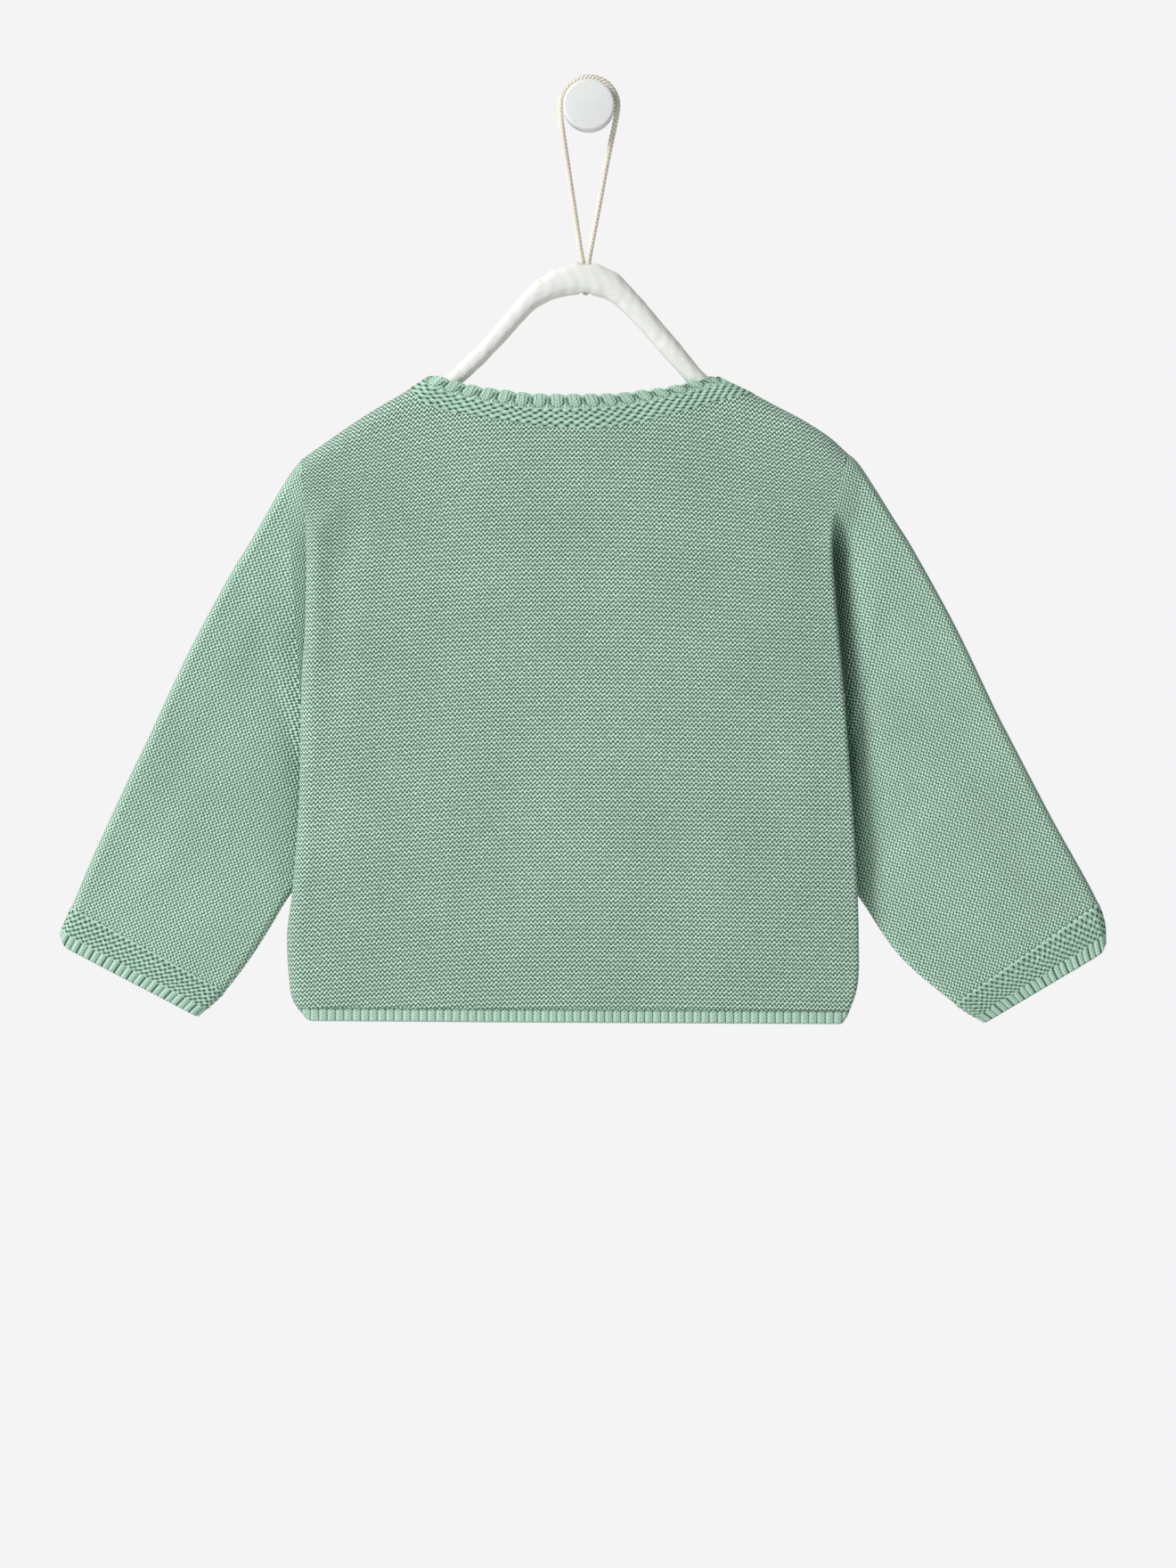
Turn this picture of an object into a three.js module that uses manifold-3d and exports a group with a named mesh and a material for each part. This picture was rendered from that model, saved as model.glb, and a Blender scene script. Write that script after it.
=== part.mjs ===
// Baby cardigan on a wooden hanger, hung by a cord loop from a round wall peg.
// Millimetres, +Z up. The wall is the plane y = 0, and everything hangs in front of it, at y < 0.
// The origin is the centre of the peg's back face. The cardigan shows its back to a viewer who faces
// the wall, so its own left side is at -X. It is knitted purl side out, in one with its sleeves.
import * as THREE from "three";
import { mergeVertices } from "three/addons/utils/BufferGeometryUtils.js";
import Module from "manifold-3d";

const wasm = await Module();
wasm.setup();

// Driving dimensions
const CLOTH = 2; // thickness of the knitted wall
const SEAM = 0.3; // gap between pieces that are joined
const MID_Y = -13; // plane of the hanger, where back and fronts meet at the folded edges
const CENTRE_X = -6.7; // centre front and back
const RIB_HEIGHT = 5.5; // ribbed edge at hem and cuffs
const RIB_RAISE = 0.9; // how far a rib stands proud
const RIB_PITCH = 3.5; // from rib to rib
const BAND_WIDTH = 25; // each front band
const BAND_LAP = 22; // how far the front bands lie on each other
const BACK_SCALLOPS = 19; // rounded scallops along the neck edge, across the back
const FRONT_SCALLOPS = 11; // and on each front
const SCALLOP_RAISE = 1; // how far a scallop stands proud
const SCALLOP_DIP = 1.2; // how far the neck edge dips between scallops
const FRONT_NECK_Z = -178; // lowest point of the front neck edge
const NECKBAND_WIDTH = 17; // neckband at the centre front
const ARMHOLE_Z = -273.8; // underarm, where the sleeve's lower edge starts
const CLOSING_Z = -266; // the body's sides close from here down to the underarm
const HEM_Z = { left: -431.4, right: -432.8 }; // lowest line of the hem
const BUTTON = { count: 5, diameter: 12, thick: 2.5, first: -190, last: -415 };
const PEG = { diameter: 24.4, length: 26, edge: 2 };
const CORD = { diameter: 2.2, gap: 0.3, legs: 3 }; // gap to the peg, and from leg to leg in the slot
const KNOT = { topZ: -86.4, half: [2.8, 1.4, 1.9] }; // pulled up into the slot, holding the loop
const HANGER = { thick: 8.4, slot: [6.2, 3.2], squareness: 2.3 };
const SLOT_X = -1.6; // middle of the slot in the arch
const COLOURS = { knit: 0x9cc4ae, button: 0xefe8d8, wood: 0xe8eae2, cord: 0xdcd4c4, peg: 0xe4e6e4 };

// The folded shoulder edges, from the neck corner out to the bend over the arm
const shoulders = {
  left: [
    { x: -73.5, z: -126.8 }, { x: -84.0, z: -133.2 }, { x: -88.6, z: -136.1 }, { x: -101.2, z: -143.4 },
    { x: -113.8, z: -151.6 }, { x: -126.4, z: -160.4 }, { x: -135.7, z: -167.0 },
  ],
  right: [
    { x: 59.2, z: -127.3 }, { x: 70.0, z: -131.8 }, { x: 78.5, z: -136.3 }, { x: 87.8, z: -141.3 },
    { x: 100.4, z: -147.9 }, { x: 113.0, z: -155.9 }, { x: 121.4, z: -163.4 },
  ],
};

// The body's two side edges, from the bend over the arm down to the hem
const sides = {
  left: [
    { z: -167.0, x: -135.7 }, { z: -202.4, x: -133.6 }, { z: -243.6, x: -134.0 }, { z: -273.8, x: -135.7 },
    { z: -328.4, x: -136.9 }, { z: -370.4, x: -139.9 }, { z: -391.0, x: -142.6 }, { z: -412.4, x: -140.7 },
    { z: -423.0, x: -137.0 }, { z: -432.8, x: -129.5 },
  ],
  right: [
    { z: -163.4, x: 121.4 }, { z: -202.4, x: 115.1 }, { z: -230.6, x: 116.3 }, { z: -273.8, x: 120.1 },
    { z: -328.4, x: 124.3 }, { z: -370.4, x: 126.8 }, { z: -395.6, x: 127.4 }, { z: -414.0, x: 127.0 },
    { z: -425.0, x: 123.8 }, { z: -434.0, x: 119.0 },
  ],
};

// Where the neck edge and the lower edge of the neckband run across the back
const backNeck = [
  { x: -73.5, z: -126.8 }, { x: -63.4, z: -130.2 }, { x: -50.8, z: -133.1 }, { x: -38.2, z: -134.8 },
  { x: -25.6, z: -136.3 }, { x: -6.7, z: -136.5 }, { x: 12.2, z: -136.1 }, { x: 24.8, z: -134.6 },
  { x: 37.4, z: -132.9 }, { x: 50.0, z: -129.6 }, { x: 59.2, z: -127.3 },
];
const backBandEdge = [
  { x: -84.0, z: -133.2 }, { x: -78.5, z: -140.3 }, { x: -65.5, z: -144.5 }, { x: -39.5, z: -148.9 },
  { x: -21.4, z: -151.4 }, { x: -0.4, z: -152.4 }, { x: 18.9, z: -150.4 }, { x: 40.7, z: -145.3 },
  { x: 57.5, z: -140.3 }, { x: 70.5, z: -137.3 }, { x: 78.5, z: -136.3 },
];

// Half of the body's depth, over the hanger at the top and hanging flat below it
const bodyDepth = [
  { z: -120.0, half: 7.0 }, { z: -180.0, half: 6.9 }, { z: -215.0, half: 6.0 }, { z: -265.0, half: 4.7 },
  { z: -440.0, half: 4.6 },
];

// How far each side edge stands from the mid plane: flush with the sleeve down to the crease, turned in
// along the crease, and closed from the underarm down
const edgeDepth = [
  { z: -120.0, stand: 7.0 }, { z: -196.0, stand: 6.4 }, { z: -215.0, stand: 4.4 }, { z: -245.0, stand: 3.2 },
  { z: CLOSING_Z, stand: 2.6 }, { z: ARMHOLE_Z, stand: 0.15 }, { z: -440.0, stand: 0.15 },
];

// Sleeves, a row for each section: the outer and inner edge, how far each lies in front of the wall, and
// half of the depth there. From the underarm down the inner edge slips behind the body's side
const sleeves = {
  left: [
    { ox: -135.7, oz: -167.0, ix: -135.7, iz: -273.8, oy: -13.0, iy: -13.0, oh: 7.0, ih: 2.6 },
    { ox: -143.2, oz: -177.2, ix: -136.6, iz: -284.5, oy: -13.0, iy: -11.6, oh: 5.6, ih: 2.6 },
    { ox: -159.6, oz: -205.4, ix: -137.4, iz: -305.5, oy: -12.8, iy: -5.2, oh: 4.6, ih: 2.4 },
    { ox: -170.1, oz: -222.6, ix: -133.1, iz: -320.0, oy: -12.5, iy: -4.8, oh: 4.2, ih: 2.4 },
    { ox: -189.4, oz: -258.7, ix: -129.5, iz: -342.7, oy: -12.0, iy: -4.8, oh: 3.9, ih: 2.4 },
    { ox: -207.5, oz: -297.4, ix: -135.7, iz: -364.1, oy: -11.5, iy: -5.0, oh: 3.9, ih: 2.5 },
    { ox: -216.7, oz: -316.3, ix: -143.2, iz: -375.5, oy: -11.0, iy: -6.6, oh: 3.9, ih: 2.8 },
    { ox: -233.3, oz: -352.4, ix: -157.3, iz: -398.6, oy: -10.5, iy: -8.0, oh: 3.8, ih: 3.4 },
    { ox: -244.2, oz: -378.0, ix: -171.8, iz: -418.0, oy: -10.0, iy: -9.0, oh: 3.8, ih: 3.6 },
    { ox: -251.6, oz: -394.4, ix: -184.4, iz: -429.6, oy: -10.0, iy: -9.2, oh: 3.7, ih: 3.5 },
  ],
  right: [
    { ox: 121.4, oz: -163.4, ix: 120.1, iz: -273.8, oy: -13.0, iy: -13.0, oh: 7.0, ih: 2.6 },
    { ox: 128.5, oz: -170.5, ix: 121.6, iz: -284.5, oy: -13.0, iy: -11.6, oh: 5.6, ih: 2.6 },
    { ox: 144.1, oz: -195.0, ix: 123.6, iz: -305.5, oy: -12.8, iy: -5.2, oh: 4.6, ih: 2.4 },
    { ox: 154.0, oz: -210.9, ix: 118.9, iz: -320.0, oy: -12.5, iy: -4.8, oh: 4.2, ih: 2.4 },
    { ox: 173.5, oz: -246.5, ix: 115.9, iz: -343.6, oy: -12.0, iy: -4.8, oh: 3.9, ih: 2.4 },
    { ox: 191.6, oz: -284.3, ix: 123.1, iz: -365.4, oy: -11.5, iy: -5.0, oh: 3.9, ih: 2.5 },
    { ox: 200.5, oz: -301.6, ix: 130.6, iz: -378.0, oy: -11.0, iy: -6.6, oh: 3.9, ih: 2.8 },
    { ox: 218.9, oz: -336.8, ix: 147.4, iz: -401.9, oy: -10.5, iy: -8.0, oh: 3.8, ih: 3.4 },
    { ox: 240.4, oz: -376.3, ix: 172.6, iz: -423.6, oy: -10.0, iy: -9.0, oh: 3.8, ih: 3.6 },
    { ox: 245.4, oz: -397.6, ix: 186.5, iz: -432.6, oy: -10.0, iy: -9.2, oh: 3.7, ih: 3.5 },
  ],
};

// The largest folds: where each lies, how long and wide it is, how its length turns up from level, and how
// far the cloth swells out there
const folds = {
  back: [
    { x: -124, z: -196, long: 16, wide: 5, turn: 55, swell: 0.9 },
    { x: -116, z: -212, long: 20, wide: 7, turn: 62, swell: -0.8 },
    { x: 102, z: -200, long: 20, wide: 7, turn: -50, swell: -0.7 },
    { x: -98, z: -411, long: 28, wide: 7, turn: 14, swell: 0.5 },
    { x: -86, z: -384, long: 30, wide: 8, turn: 10, swell: 0.5 },
    { x: -60, z: -330, long: 60, wide: 16, turn: 84, swell: 0.7 },
    { x: 62, z: -345, long: 55, wide: 18, turn: 96, swell: 0.6 },
  ],
  front: [
    { x: -78, z: -300, long: 60, wide: 15, turn: 82, swell: 0.6 },
    { x: 60, z: -310, long: 62, wide: 15, turn: 97, swell: 0.6 },
    { x: -96, z: -208, long: 20, wide: 7, turn: 60, swell: -0.7 },
    { x: 84, z: -206, long: 20, wide: 7, turn: -58, swell: -0.7 },
  ],
  sleeves: [
    { x: -168, z: -262, long: 42, wide: 9, turn: 61, swell: 0.7 },
    { x: -197, z: -350, long: 34, wide: 8, turn: 66, swell: 0.5 },
    { x: 156, z: -266, long: 46, wide: 9, turn: -61, swell: 0.7 },
    { x: 188, z: -352, long: 34, wide: 8, turn: -58, swell: 0.5 },
  ],
};

// The hanger, a row for each section of the bent stick from tip to tip
const stick = [
  { x: -121.3, z: -165.8, wide: 8.0 }, { x: -109.5, z: -158.2, wide: 8.2 }, { x: -97.3, z: -150.2, wide: 8.4 },
  { x: -84.8, z: -142.8, wide: 8.4 }, { x: -69.4, z: -133.6, wide: 7.8 }, { x: -52.4, z: -118.6, wide: 8.2 },
  { x: -39.0, z: -104.2, wide: 8.4 }, { x: -28.0, z: -91.8, wide: 9.6 }, { x: -16.8, z: -84.4, wide: 13.4 },
  { x: -4.0, z: -81.2, wide: 16.2 }, { x: 9.0, z: -84.2, wide: 13.8 }, { x: 18.4, z: -91.8, wide: 10.8 },
  { x: 29.5, z: -104.2, wide: 9.9 }, { x: 42.0, z: -118.6, wide: 9.4 }, { x: 49.6, z: -127.6, wide: 8.8 },
  { x: 57.0, z: -134.0, wide: 8.4 }, { x: 67.4, z: -139.2, wide: 8.4 }, { x: 84.4, z: -148.0, wide: 8.4 },
  { x: 97.0, z: -154.6, wide: 8.4 }, { x: 111.5, z: -163.4, wide: 8.0 },
];

// The cord's left and right leg between hanger and peg
const legs = {
  left: [{ x: -4.4, z: -66 }, { x: -7.4, z: -46 }, { x: -10.4, z: -26 }, { x: -12.9, z: -9 }],
  right: [{ x: 1.1, z: -66 }, { x: 4.9, z: -46 }, { x: 8.6, z: -26 }, { x: 12.2, z: -9 }],
};

// How far below the shoulder fold a panel's first rows lie, how far in from its side its first columns
// lie, and the heights of its other rows: they meet the crease, the underarm and the cut-in hem corner
const FOLD_DROPS = [0, 1.1, 4.2, 8.4];
const FOLD_INSETS = [0, 0.6, 2.3, 4.6];
const SIDE_ROWS = [-190, -202, -232, CLOSING_Z, ARMHOLE_Z, -310, -355, -391, -415];

const PER_SCALLOP = 4; // places along the neck to each scallop
const PANEL_PITCH = 15; // widest gap from column to column across a panel
const CUFF_RIBS = 40;
const SHOULDER_ROUND = 1.22; // how much wider than deep the round of a sleeve's outer edge is at the body

const BACK = -1;
const FRONT = 1;
const QUARTER = Math.PI / 2;

// Three even turns round an edge, as shares of its radius
const EDGE_SHARES = [0, 1, 2, 3].map((k) => 1 - Math.cos((QUARTER * k) / 3));

function mix(a, b, t) {
  return a + (b - a) * t;
}

// A smooth curve through one column of a table, read at a place in another column
function lookup(rows, by, want, at) {
  const rising = rows[1][by] > rows[0][by] ? 1 : -1;
  let i = 0;
  while (i < rows.length - 2 && (at - rows[i + 1][by]) * rising > 0) i += 1;
  const slope = (k) => {
    const a = rows[Math.max(k - 1, 0)];
    const b = rows[Math.min(k + 1, rows.length - 1)];
    return (b[want] - a[want]) / (b[by] - a[by]);
  };
  const span = rows[i + 1][by] - rows[i][by];
  const t = THREE.MathUtils.clamp((at - rows[i][by]) / span, 0, 1);
  const rise = rows[i + 1][want] - rows[i][want];
  const startGap = slope(i) * span - rise;
  const endGap = rise - slope(i + 1) * span;
  return rows[i][want] + t * rise + t * (1 - t) * ((1 - t) * startGap + t * endGap);
}

// The straight line between rows of a table
function straight(rows, by, want, at) {
  let i = 0;
  while (i < rows.length - 2 && at > rows[i + 1][by]) i += 1;
  const t = (at - rows[i][by]) / (rows[i + 1][by] - rows[i][by]);
  return mix(rows[i][want], rows[i + 1][want], THREE.MathUtils.clamp(t, 0, 1));
}

// Distance to a folded edge, and the way out across it
function nearFold(line, x, z) {
  let best = { gap: Infinity };
  for (let i = 0; i < line.length - 1; i += 1) {
    const ax = line[i + 1].x - line[i].x;
    const az = line[i + 1].z - line[i].z;
    const long = Math.hypot(ax, az);
    const t = ((x - line[i].x) * ax + (z - line[i].z) * az) / (long * long);
    const held = THREE.MathUtils.clamp(t, i === 0 ? 0 : -1, 1);
    const gap = Math.hypot(line[i].x + held * ax - x, line[i].z + held * az - z);
    if (gap < best.gap) best = { gap, x: (-az / long) * Math.sign(ax), z: Math.abs(ax) / long };
  }
  return best;
}

// Angle round a folded edge: 0 at the fold, a quarter turn where the cloth is flat again
function turned(gap, radius) {
  return Math.acos(THREE.MathUtils.clamp(1 - gap / radius, 0, 1));
}

function swell(rows, x, z) {
  let sum = 0;
  for (const fold of rows) {
    const turn = THREE.MathUtils.degToRad(fold.turn);
    const along = (x - fold.x) * Math.cos(turn) + (z - fold.z) * Math.sin(turn);
    const across = (z - fold.z) * Math.cos(turn) - (x - fold.x) * Math.sin(turn);
    sum += fold.swell * Math.exp(-((along / fold.long) ** 2) - (across / fold.wide) ** 2);
  }
  return sum;
}

// One point of the body's cloth, outside and inside. The lean tells how far its outward direction tips
// from straight out to the folded edges
function bodyPoint(x, z, face, raise = 0, proud = 0) {
  const half = lookup(bodyDepth, "z", "half", z);
  let top = half;
  const lean = { x: 0, z: 0 };
  for (const line of [shoulders.left, shoulders.right]) {
    const near = nearFold(line, x, z);
    const turn = turned(near.gap, half);
    top = Math.min(top, half * Math.sin(turn));
    lean.x += near.x * Math.cos(turn);
    lean.z += near.z * Math.cos(turn);
  }
  const edge = Math.min(straight(reversed(edgeDepth), "z", "stand", z), top);
  let stand = top;
  for (const [line, way] of [[sides.left, -1], [sides.right, 1]]) {
    const inside = Math.max((lookup(line, "z", "x", z) - x) * way - SEAM / 2, 0);
    const turn = turned(inside, half);
    stand = Math.min(stand, mix(edge, top, Math.sin(turn)));
    lean.x += way * Math.cos(turn) * Math.sqrt(Math.max(1 - (edge / Math.max(top, 0.01)) ** 2, 0));
  }
  stand += swell(face === BACK ? folds.back : folds.front, x, z) * (stand / half);
  stand = Math.max(stand, SEAM / 2) + proud;
  const tip = Math.hypot(lean.x, lean.z);
  const scale = tip > 1 ? 1 / tip : 1;
  const out = new THREE.Vector3(lean.x * scale, 0, lean.z * scale);
  out.y = face * Math.sqrt(Math.max(1 - out.lengthSq(), 0));
  const skin = new THREE.Vector3(x, MID_Y + face * stand, z);
  return {
    outer: skin.clone().addScaledVector(out, raise),
    inner: skin.clone().addScaledVector(out, -CLOTH),
  };
}

function reversed(rows) {
  return [...rows].reverse();
}

// A closed wall from rows of points that have an outside and an inside. A ring joins its last column to
// its first
function wall(rows, ring = false) {
  const tall = rows.length;
  const wide = rows[0].length;
  const points = [];
  for (const side of ["outer", "inner"]) {
    for (const row of rows) {
      for (const point of row) points.push(point[side].x, point[side].y, point[side].z);
    }
  }
  const at = (side, i, j) => side * tall * wide + i * wide + (j % wide);
  const faces = [];
  const quad = (a, b, c, d) => faces.push(a, b, c, a, c, d);
  const spans = ring ? wide : wide - 1;
  for (let i = 0; i < tall - 1; i += 1) {
    for (let j = 0; j < spans; j += 1) {
      quad(at(0, i, j), at(0, i + 1, j), at(0, i + 1, j + 1), at(0, i, j + 1));
      quad(at(1, i, j), at(1, i, j + 1), at(1, i + 1, j + 1), at(1, i + 1, j));
    }
  }
  for (let j = 0; j < spans; j += 1) {
    quad(at(0, 0, j), at(0, 0, j + 1), at(1, 0, j + 1), at(1, 0, j));
    quad(at(0, tall - 1, j + 1), at(0, tall - 1, j), at(1, tall - 1, j), at(1, tall - 1, j + 1));
  }
  for (let i = 0; i < tall - 1 && !ring; i += 1) {
    quad(at(0, i + 1, 0), at(0, i, 0), at(1, i, 0), at(1, i + 1, 0));
    quad(at(0, i, wide - 1), at(0, i + 1, wide - 1), at(1, i + 1, wide - 1), at(1, i, wide - 1));
  }
  return solidOf(points, faces);
}

// A geometry with its faces pointing out
function solidOf(points, faces) {
  const corner = (k) => new THREE.Vector3(points[3 * k], points[3 * k + 1], points[3 * k + 2]);
  let volume = 0;
  for (let k = 0; k < faces.length; k += 3) {
    volume += corner(faces[k]).dot(corner(faces[k + 1]).cross(corner(faces[k + 2])));
  }
  if (volume < 0) faces.reverse();
  const geometry = new THREE.BufferGeometry();
  geometry.setAttribute("position", new THREE.Float32BufferAttribute(points, 3));
  geometry.setIndex(faces);
  return geometry;
}

// A list with even steps put in, none longer than the most
function spread(list, most) {
  const out = [list[0]];
  for (let i = 1; i < list.length; i += 1) {
    const parts = Math.max(Math.ceil(Math.abs(list[i] - list[i - 1]) / most), 1);
    for (let k = 1; k <= parts; k += 1) out.push(mix(list[i - 1], list[i], k / parts));
  }
  return out;
}

function hemZ(x) {
  const t = (x - sides.left[0].x) / (sides.right[0].x - sides.left[0].x);
  return mix(HEM_Z.left, HEM_Z.right, t);
}

// The height of one row of a panel at one column
function panelRow(top, bottom, k) {
  if (k < FOLD_DROPS.length) return top - FOLD_DROPS[k];
  const first = sides.left[0].z;
  const share = k - FOLD_DROPS.length < SIDE_ROWS.length
    ? (SIDE_ROWS[k - FOLD_DROPS.length] - first) / (HEM_Z.left + RIB_HEIGHT - first)
    : 1;
  return mix(top, bottom, share);
}

// The way across at one height: a column at the side follows the side edge, one at the middle is upright
function columnX(x, z) {
  const side = x < CENTRE_X ? sides.left : sides.right;
  const way = x < CENTRE_X ? 1 : -1;
  const seamX = CENTRE_X - way * (BAND_WIDTH - BAND_LAP / 2);
  const share = THREE.MathUtils.clamp((x - seamX) / (side[0].x - seamX), 0, 1);
  return x + share * (lookup(side, "z", "x", z) + (way * SEAM) / 2 - side[0].x);
}

// A panel below a top edge, between two columns
function panel(topEdge, columns, face) {
  const rows = [];
  for (let k = 0; k <= FOLD_DROPS.length + SIDE_ROWS.length; k += 1) {
    rows.push(columns.map((x) => {
      const top = straight(topEdge, "x", "z", x);
      const z = panelRow(top, hemZ(x) + RIB_HEIGHT + SEAM / 2, k);
      return bodyPoint(k === 0 ? x : columnX(x, z), z, face);
    }));
  }
  return wall(rows);
}

// Columns round a folded side: the first few are close together
function foldColumns(edgeX, way) {
  return FOLD_INSETS.map((inset) => edgeX + way * inset);
}

// A ribbed strip below a panel
function hemStrip(fromX, toX, ribs, face) {
  const rows = [0, 1].map((share) => {
    const row = [];
    for (let k = 0; k <= ribs * 2; k += 1) {
      const x = mix(fromX, toX, k / (ribs * 2));
      const z = mix(hemZ(x) + RIB_HEIGHT - SEAM / 2, hemZ(x), share);
      const raise = k % 2 === 1 ? RIB_RAISE : 0;
      row.push(bodyPoint(columnX(x, z), z, face, raise * mix(0.6, 1, share)));
    }
    return row;
  });
  return wall(rows);
}

function curveOf(rows) {
  return new THREE.SplineCurve(rows.map((row) => new THREE.Vector2(row.x, row.z)));
}

// Even places along the band's lower edge. The panel below has a column at each one that is marked
// shared: at every second scallop, and at all of them round the shoulder folds
function bandLine(rows, scallops) {
  const last = scallops * PER_SCALLOP;
  return curveOf(rows).getSpacedPoints(last).map((point, k) => ({
    x: point.x,
    z: point.y,
    shared: k % (2 * PER_SCALLOP) === 0 || k <= PER_SCALLOP || k >= last - PER_SCALLOP,
  }));
}

// The part of a panel's top edge that lies under the band, a seam's gap below it apart from its first
// point, on the shoulder fold
function underBand(line) {
  const low = line.filter((place) => place.shared);
  return low.map((place, k) => ({ x: place.x, z: place.z - (k === 0 ? 0 : SEAM) }));
}

// The neckband between two edges, with rounded scallops along the neck
function neckband(neckEdge, lowLine, face) {
  const neck = curveOf(neckEdge);
  const last = lowLine.length - 1;
  const levels = [{ share: 0, raise: 0.3 }, { share: 0.18, raise: 1 }, { share: 0.36, raise: 0.4 }];
  const rows = levels.map(({ share, raise }) => lowLine.map((low, k) => {
    const top = neck.getPointAt(k / last);
    const round = Math.abs(Math.sin((k / PER_SCALLOP) * Math.PI));
    const dip = share === 0 ? SCALLOP_DIP * (1 - round) : 0;
    const z = mix(top.y, low.z, share) - dip;
    return bodyPoint(mix(top.x, low.x, share), z, face, raise * SCALLOP_RAISE * round);
  }));
  const seam = lowLine.map((low) => bodyPoint(low.x, low.z + SEAM / 2, face));
  const held = (k, way) => {
    let at = k;
    while (!lowLine[at].shared) at += way;
    return at;
  };
  rows.push(seam.map((point, k) => {
    const [a, b] = [held(k, -1), held(k, 1)];
    const t = a === b ? 0 : (k - a) / (b - a);
    return {
      outer: seam[a].outer.clone().lerp(seam[b].outer, t),
      inner: seam[a].inner.clone().lerp(seam[b].inner, t),
    };
  }));
  return wall(rows);
}

// The front neck: a quarter of an ellipse from the shoulder to the seam of the front band
function frontNeck(corner, lowZ, seamX) {
  const reach = corner.x - CENTRE_X;
  const last = Math.acos((seamX - CENTRE_X) / reach);
  const steps = 8;
  const rows = [];
  for (let k = 0; k <= steps; k += 1) {
    const turn = (last * k) / steps;
    rows.push({ x: CENTRE_X + reach * Math.cos(turn), z: mix(corner.z, lowZ, Math.sin(turn)) });
  }
  return rows;
}

// One sleeve section: a flat ring with round edges, from the outer edge along the side away from the wall
// to the inner edge and back
function sleeveRing(rows, share, side) {
  const row = {};
  const numbered = rows.map((r, k) => ({ ...r, k }));
  for (const key of ["ox", "oz", "ix", "iz", "oy", "iy", "oh", "ih"]) {
    row[key] = lookup(numbered, "k", key, share);
  }
  const long = Math.hypot(row.ix - row.ox, row.iz - row.oz);
  const along = { x: (row.ix - row.ox) / long, z: (row.iz - row.oz) / long };
  const atBody = Math.max(1 - share, 0);
  const outerRound = row.oh * mix(1, SHOULDER_ROUND, atBody);
  const start = EDGE_SHARES.map((step) => step * outerRound);
  const end = reversed(EDGE_SHARES).map((step) => long - step * row.ih);
  const flat = [0.25, 0.5, 0.75].map((step) => mix(outerRound, long - row.ih, step));
  const places = [...start, ...flat, ...end];
  const point = (s, face) => {
    const outerTurn = turned(s, outerRound);
    const innerTurn = turned(long - s, row.ih);
    const x = row.ox + along.x * s;
    const z = row.oz + along.z * s;
    const seam = lookup(sides[side], "z", "x", z) + (side === "left" ? -1 : 1) * SEAM;
    let half = mix(row.oh, row.ih, s / long);
    const join = straight(reversed(edgeDepth), "z", "stand", Math.max(z, CLOSING_Z));
    half = mix(half, Math.min(join, lookup(bodyDepth, "z", "half", z)), atBody);
    const turn = Math.cos(innerTurn) - Math.cos(outerTurn);
    const out = new THREE.Vector3(along.x * turn, 0, along.z * turn);
    out.y = face * Math.sqrt(Math.max(1 - out.lengthSq(), 0));
    const round = Math.min(Math.sin(outerTurn), Math.sin(innerTurn));
    const stand = (half + swell(folds.sleeves, x, z)) * round;
    const bow = mix(0, seam - x, atBody);
    const skin = new THREE.Vector3(x + bow, mix(row.oy, row.iy, s / long) + face * stand, z);
    return { outer: skin, inner: skin.clone().addScaledVector(out, -CLOTH) };
  };
  const backSide = places.map((s) => point(s, BACK));
  const frontSide = places.slice(1, -1).reverse().map((s) => point(s, FRONT));
  return [...backSide, ...frontSide];
}

function sleeve(side) {
  const rows = sleeves[side];
  const last = rows.length - 2;
  const rings = [0, 0.5];
  for (let k = 1; k < last; k += 0.75) rings.push(k);
  rings.push(last);
  return wall(rings.map((share) => sleeveRing(rows, share, side)), true);
}

// Even places round a flat ring, for the ribs of a cuff
function evenRing(ring, count) {
  const closed = [...ring, ring[0]];
  const steps = [0];
  for (let k = 1; k < closed.length; k += 1) {
    steps.push(steps[k - 1] + closed[k].outer.distanceTo(closed[k - 1].outer));
  }
  const out = [];
  for (let k = 0; k < count; k += 1) {
    const at = (steps.at(-1) * k) / count;
    let i = 0;
    while (steps[i + 1] < at) i += 1;
    const t = (at - steps[i]) / (steps[i + 1] - steps[i]);
    out.push({
      outer: closed[i].outer.clone().lerp(closed[i + 1].outer, t),
      inner: closed[i].inner.clone().lerp(closed[i + 1].inner, t),
    });
  }
  return out;
}

// A cuff goes on from the sleeve's last section, with ribs along its lower edge
function cuff(side) {
  const rows = sleeves[side];
  const last = rows.length - 1;
  const top = rows[last - 1];
  const tall = Math.hypot(rows[last].ox - top.ox, rows[last].oz - top.oz);
  const shares = [SEAM / tall, 1 - RIB_HEIGHT / tall, 1];
  const rings = shares.map((share, k) => {
    const plain = evenRing(sleeveRing(rows, last - 1 + share, side), CUFF_RIBS * 2);
    return plain.map((point, j) => {
      const raise = j % 2 === 1 ? RIB_RAISE * [0, 0.6, 1][k] : 0;
      const out = point.outer.clone().sub(point.inner).normalize();
      return { outer: point.outer.clone().addScaledVector(out, raise), inner: point.inner };
    });
  });
  return wall(rings, true);
}

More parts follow.
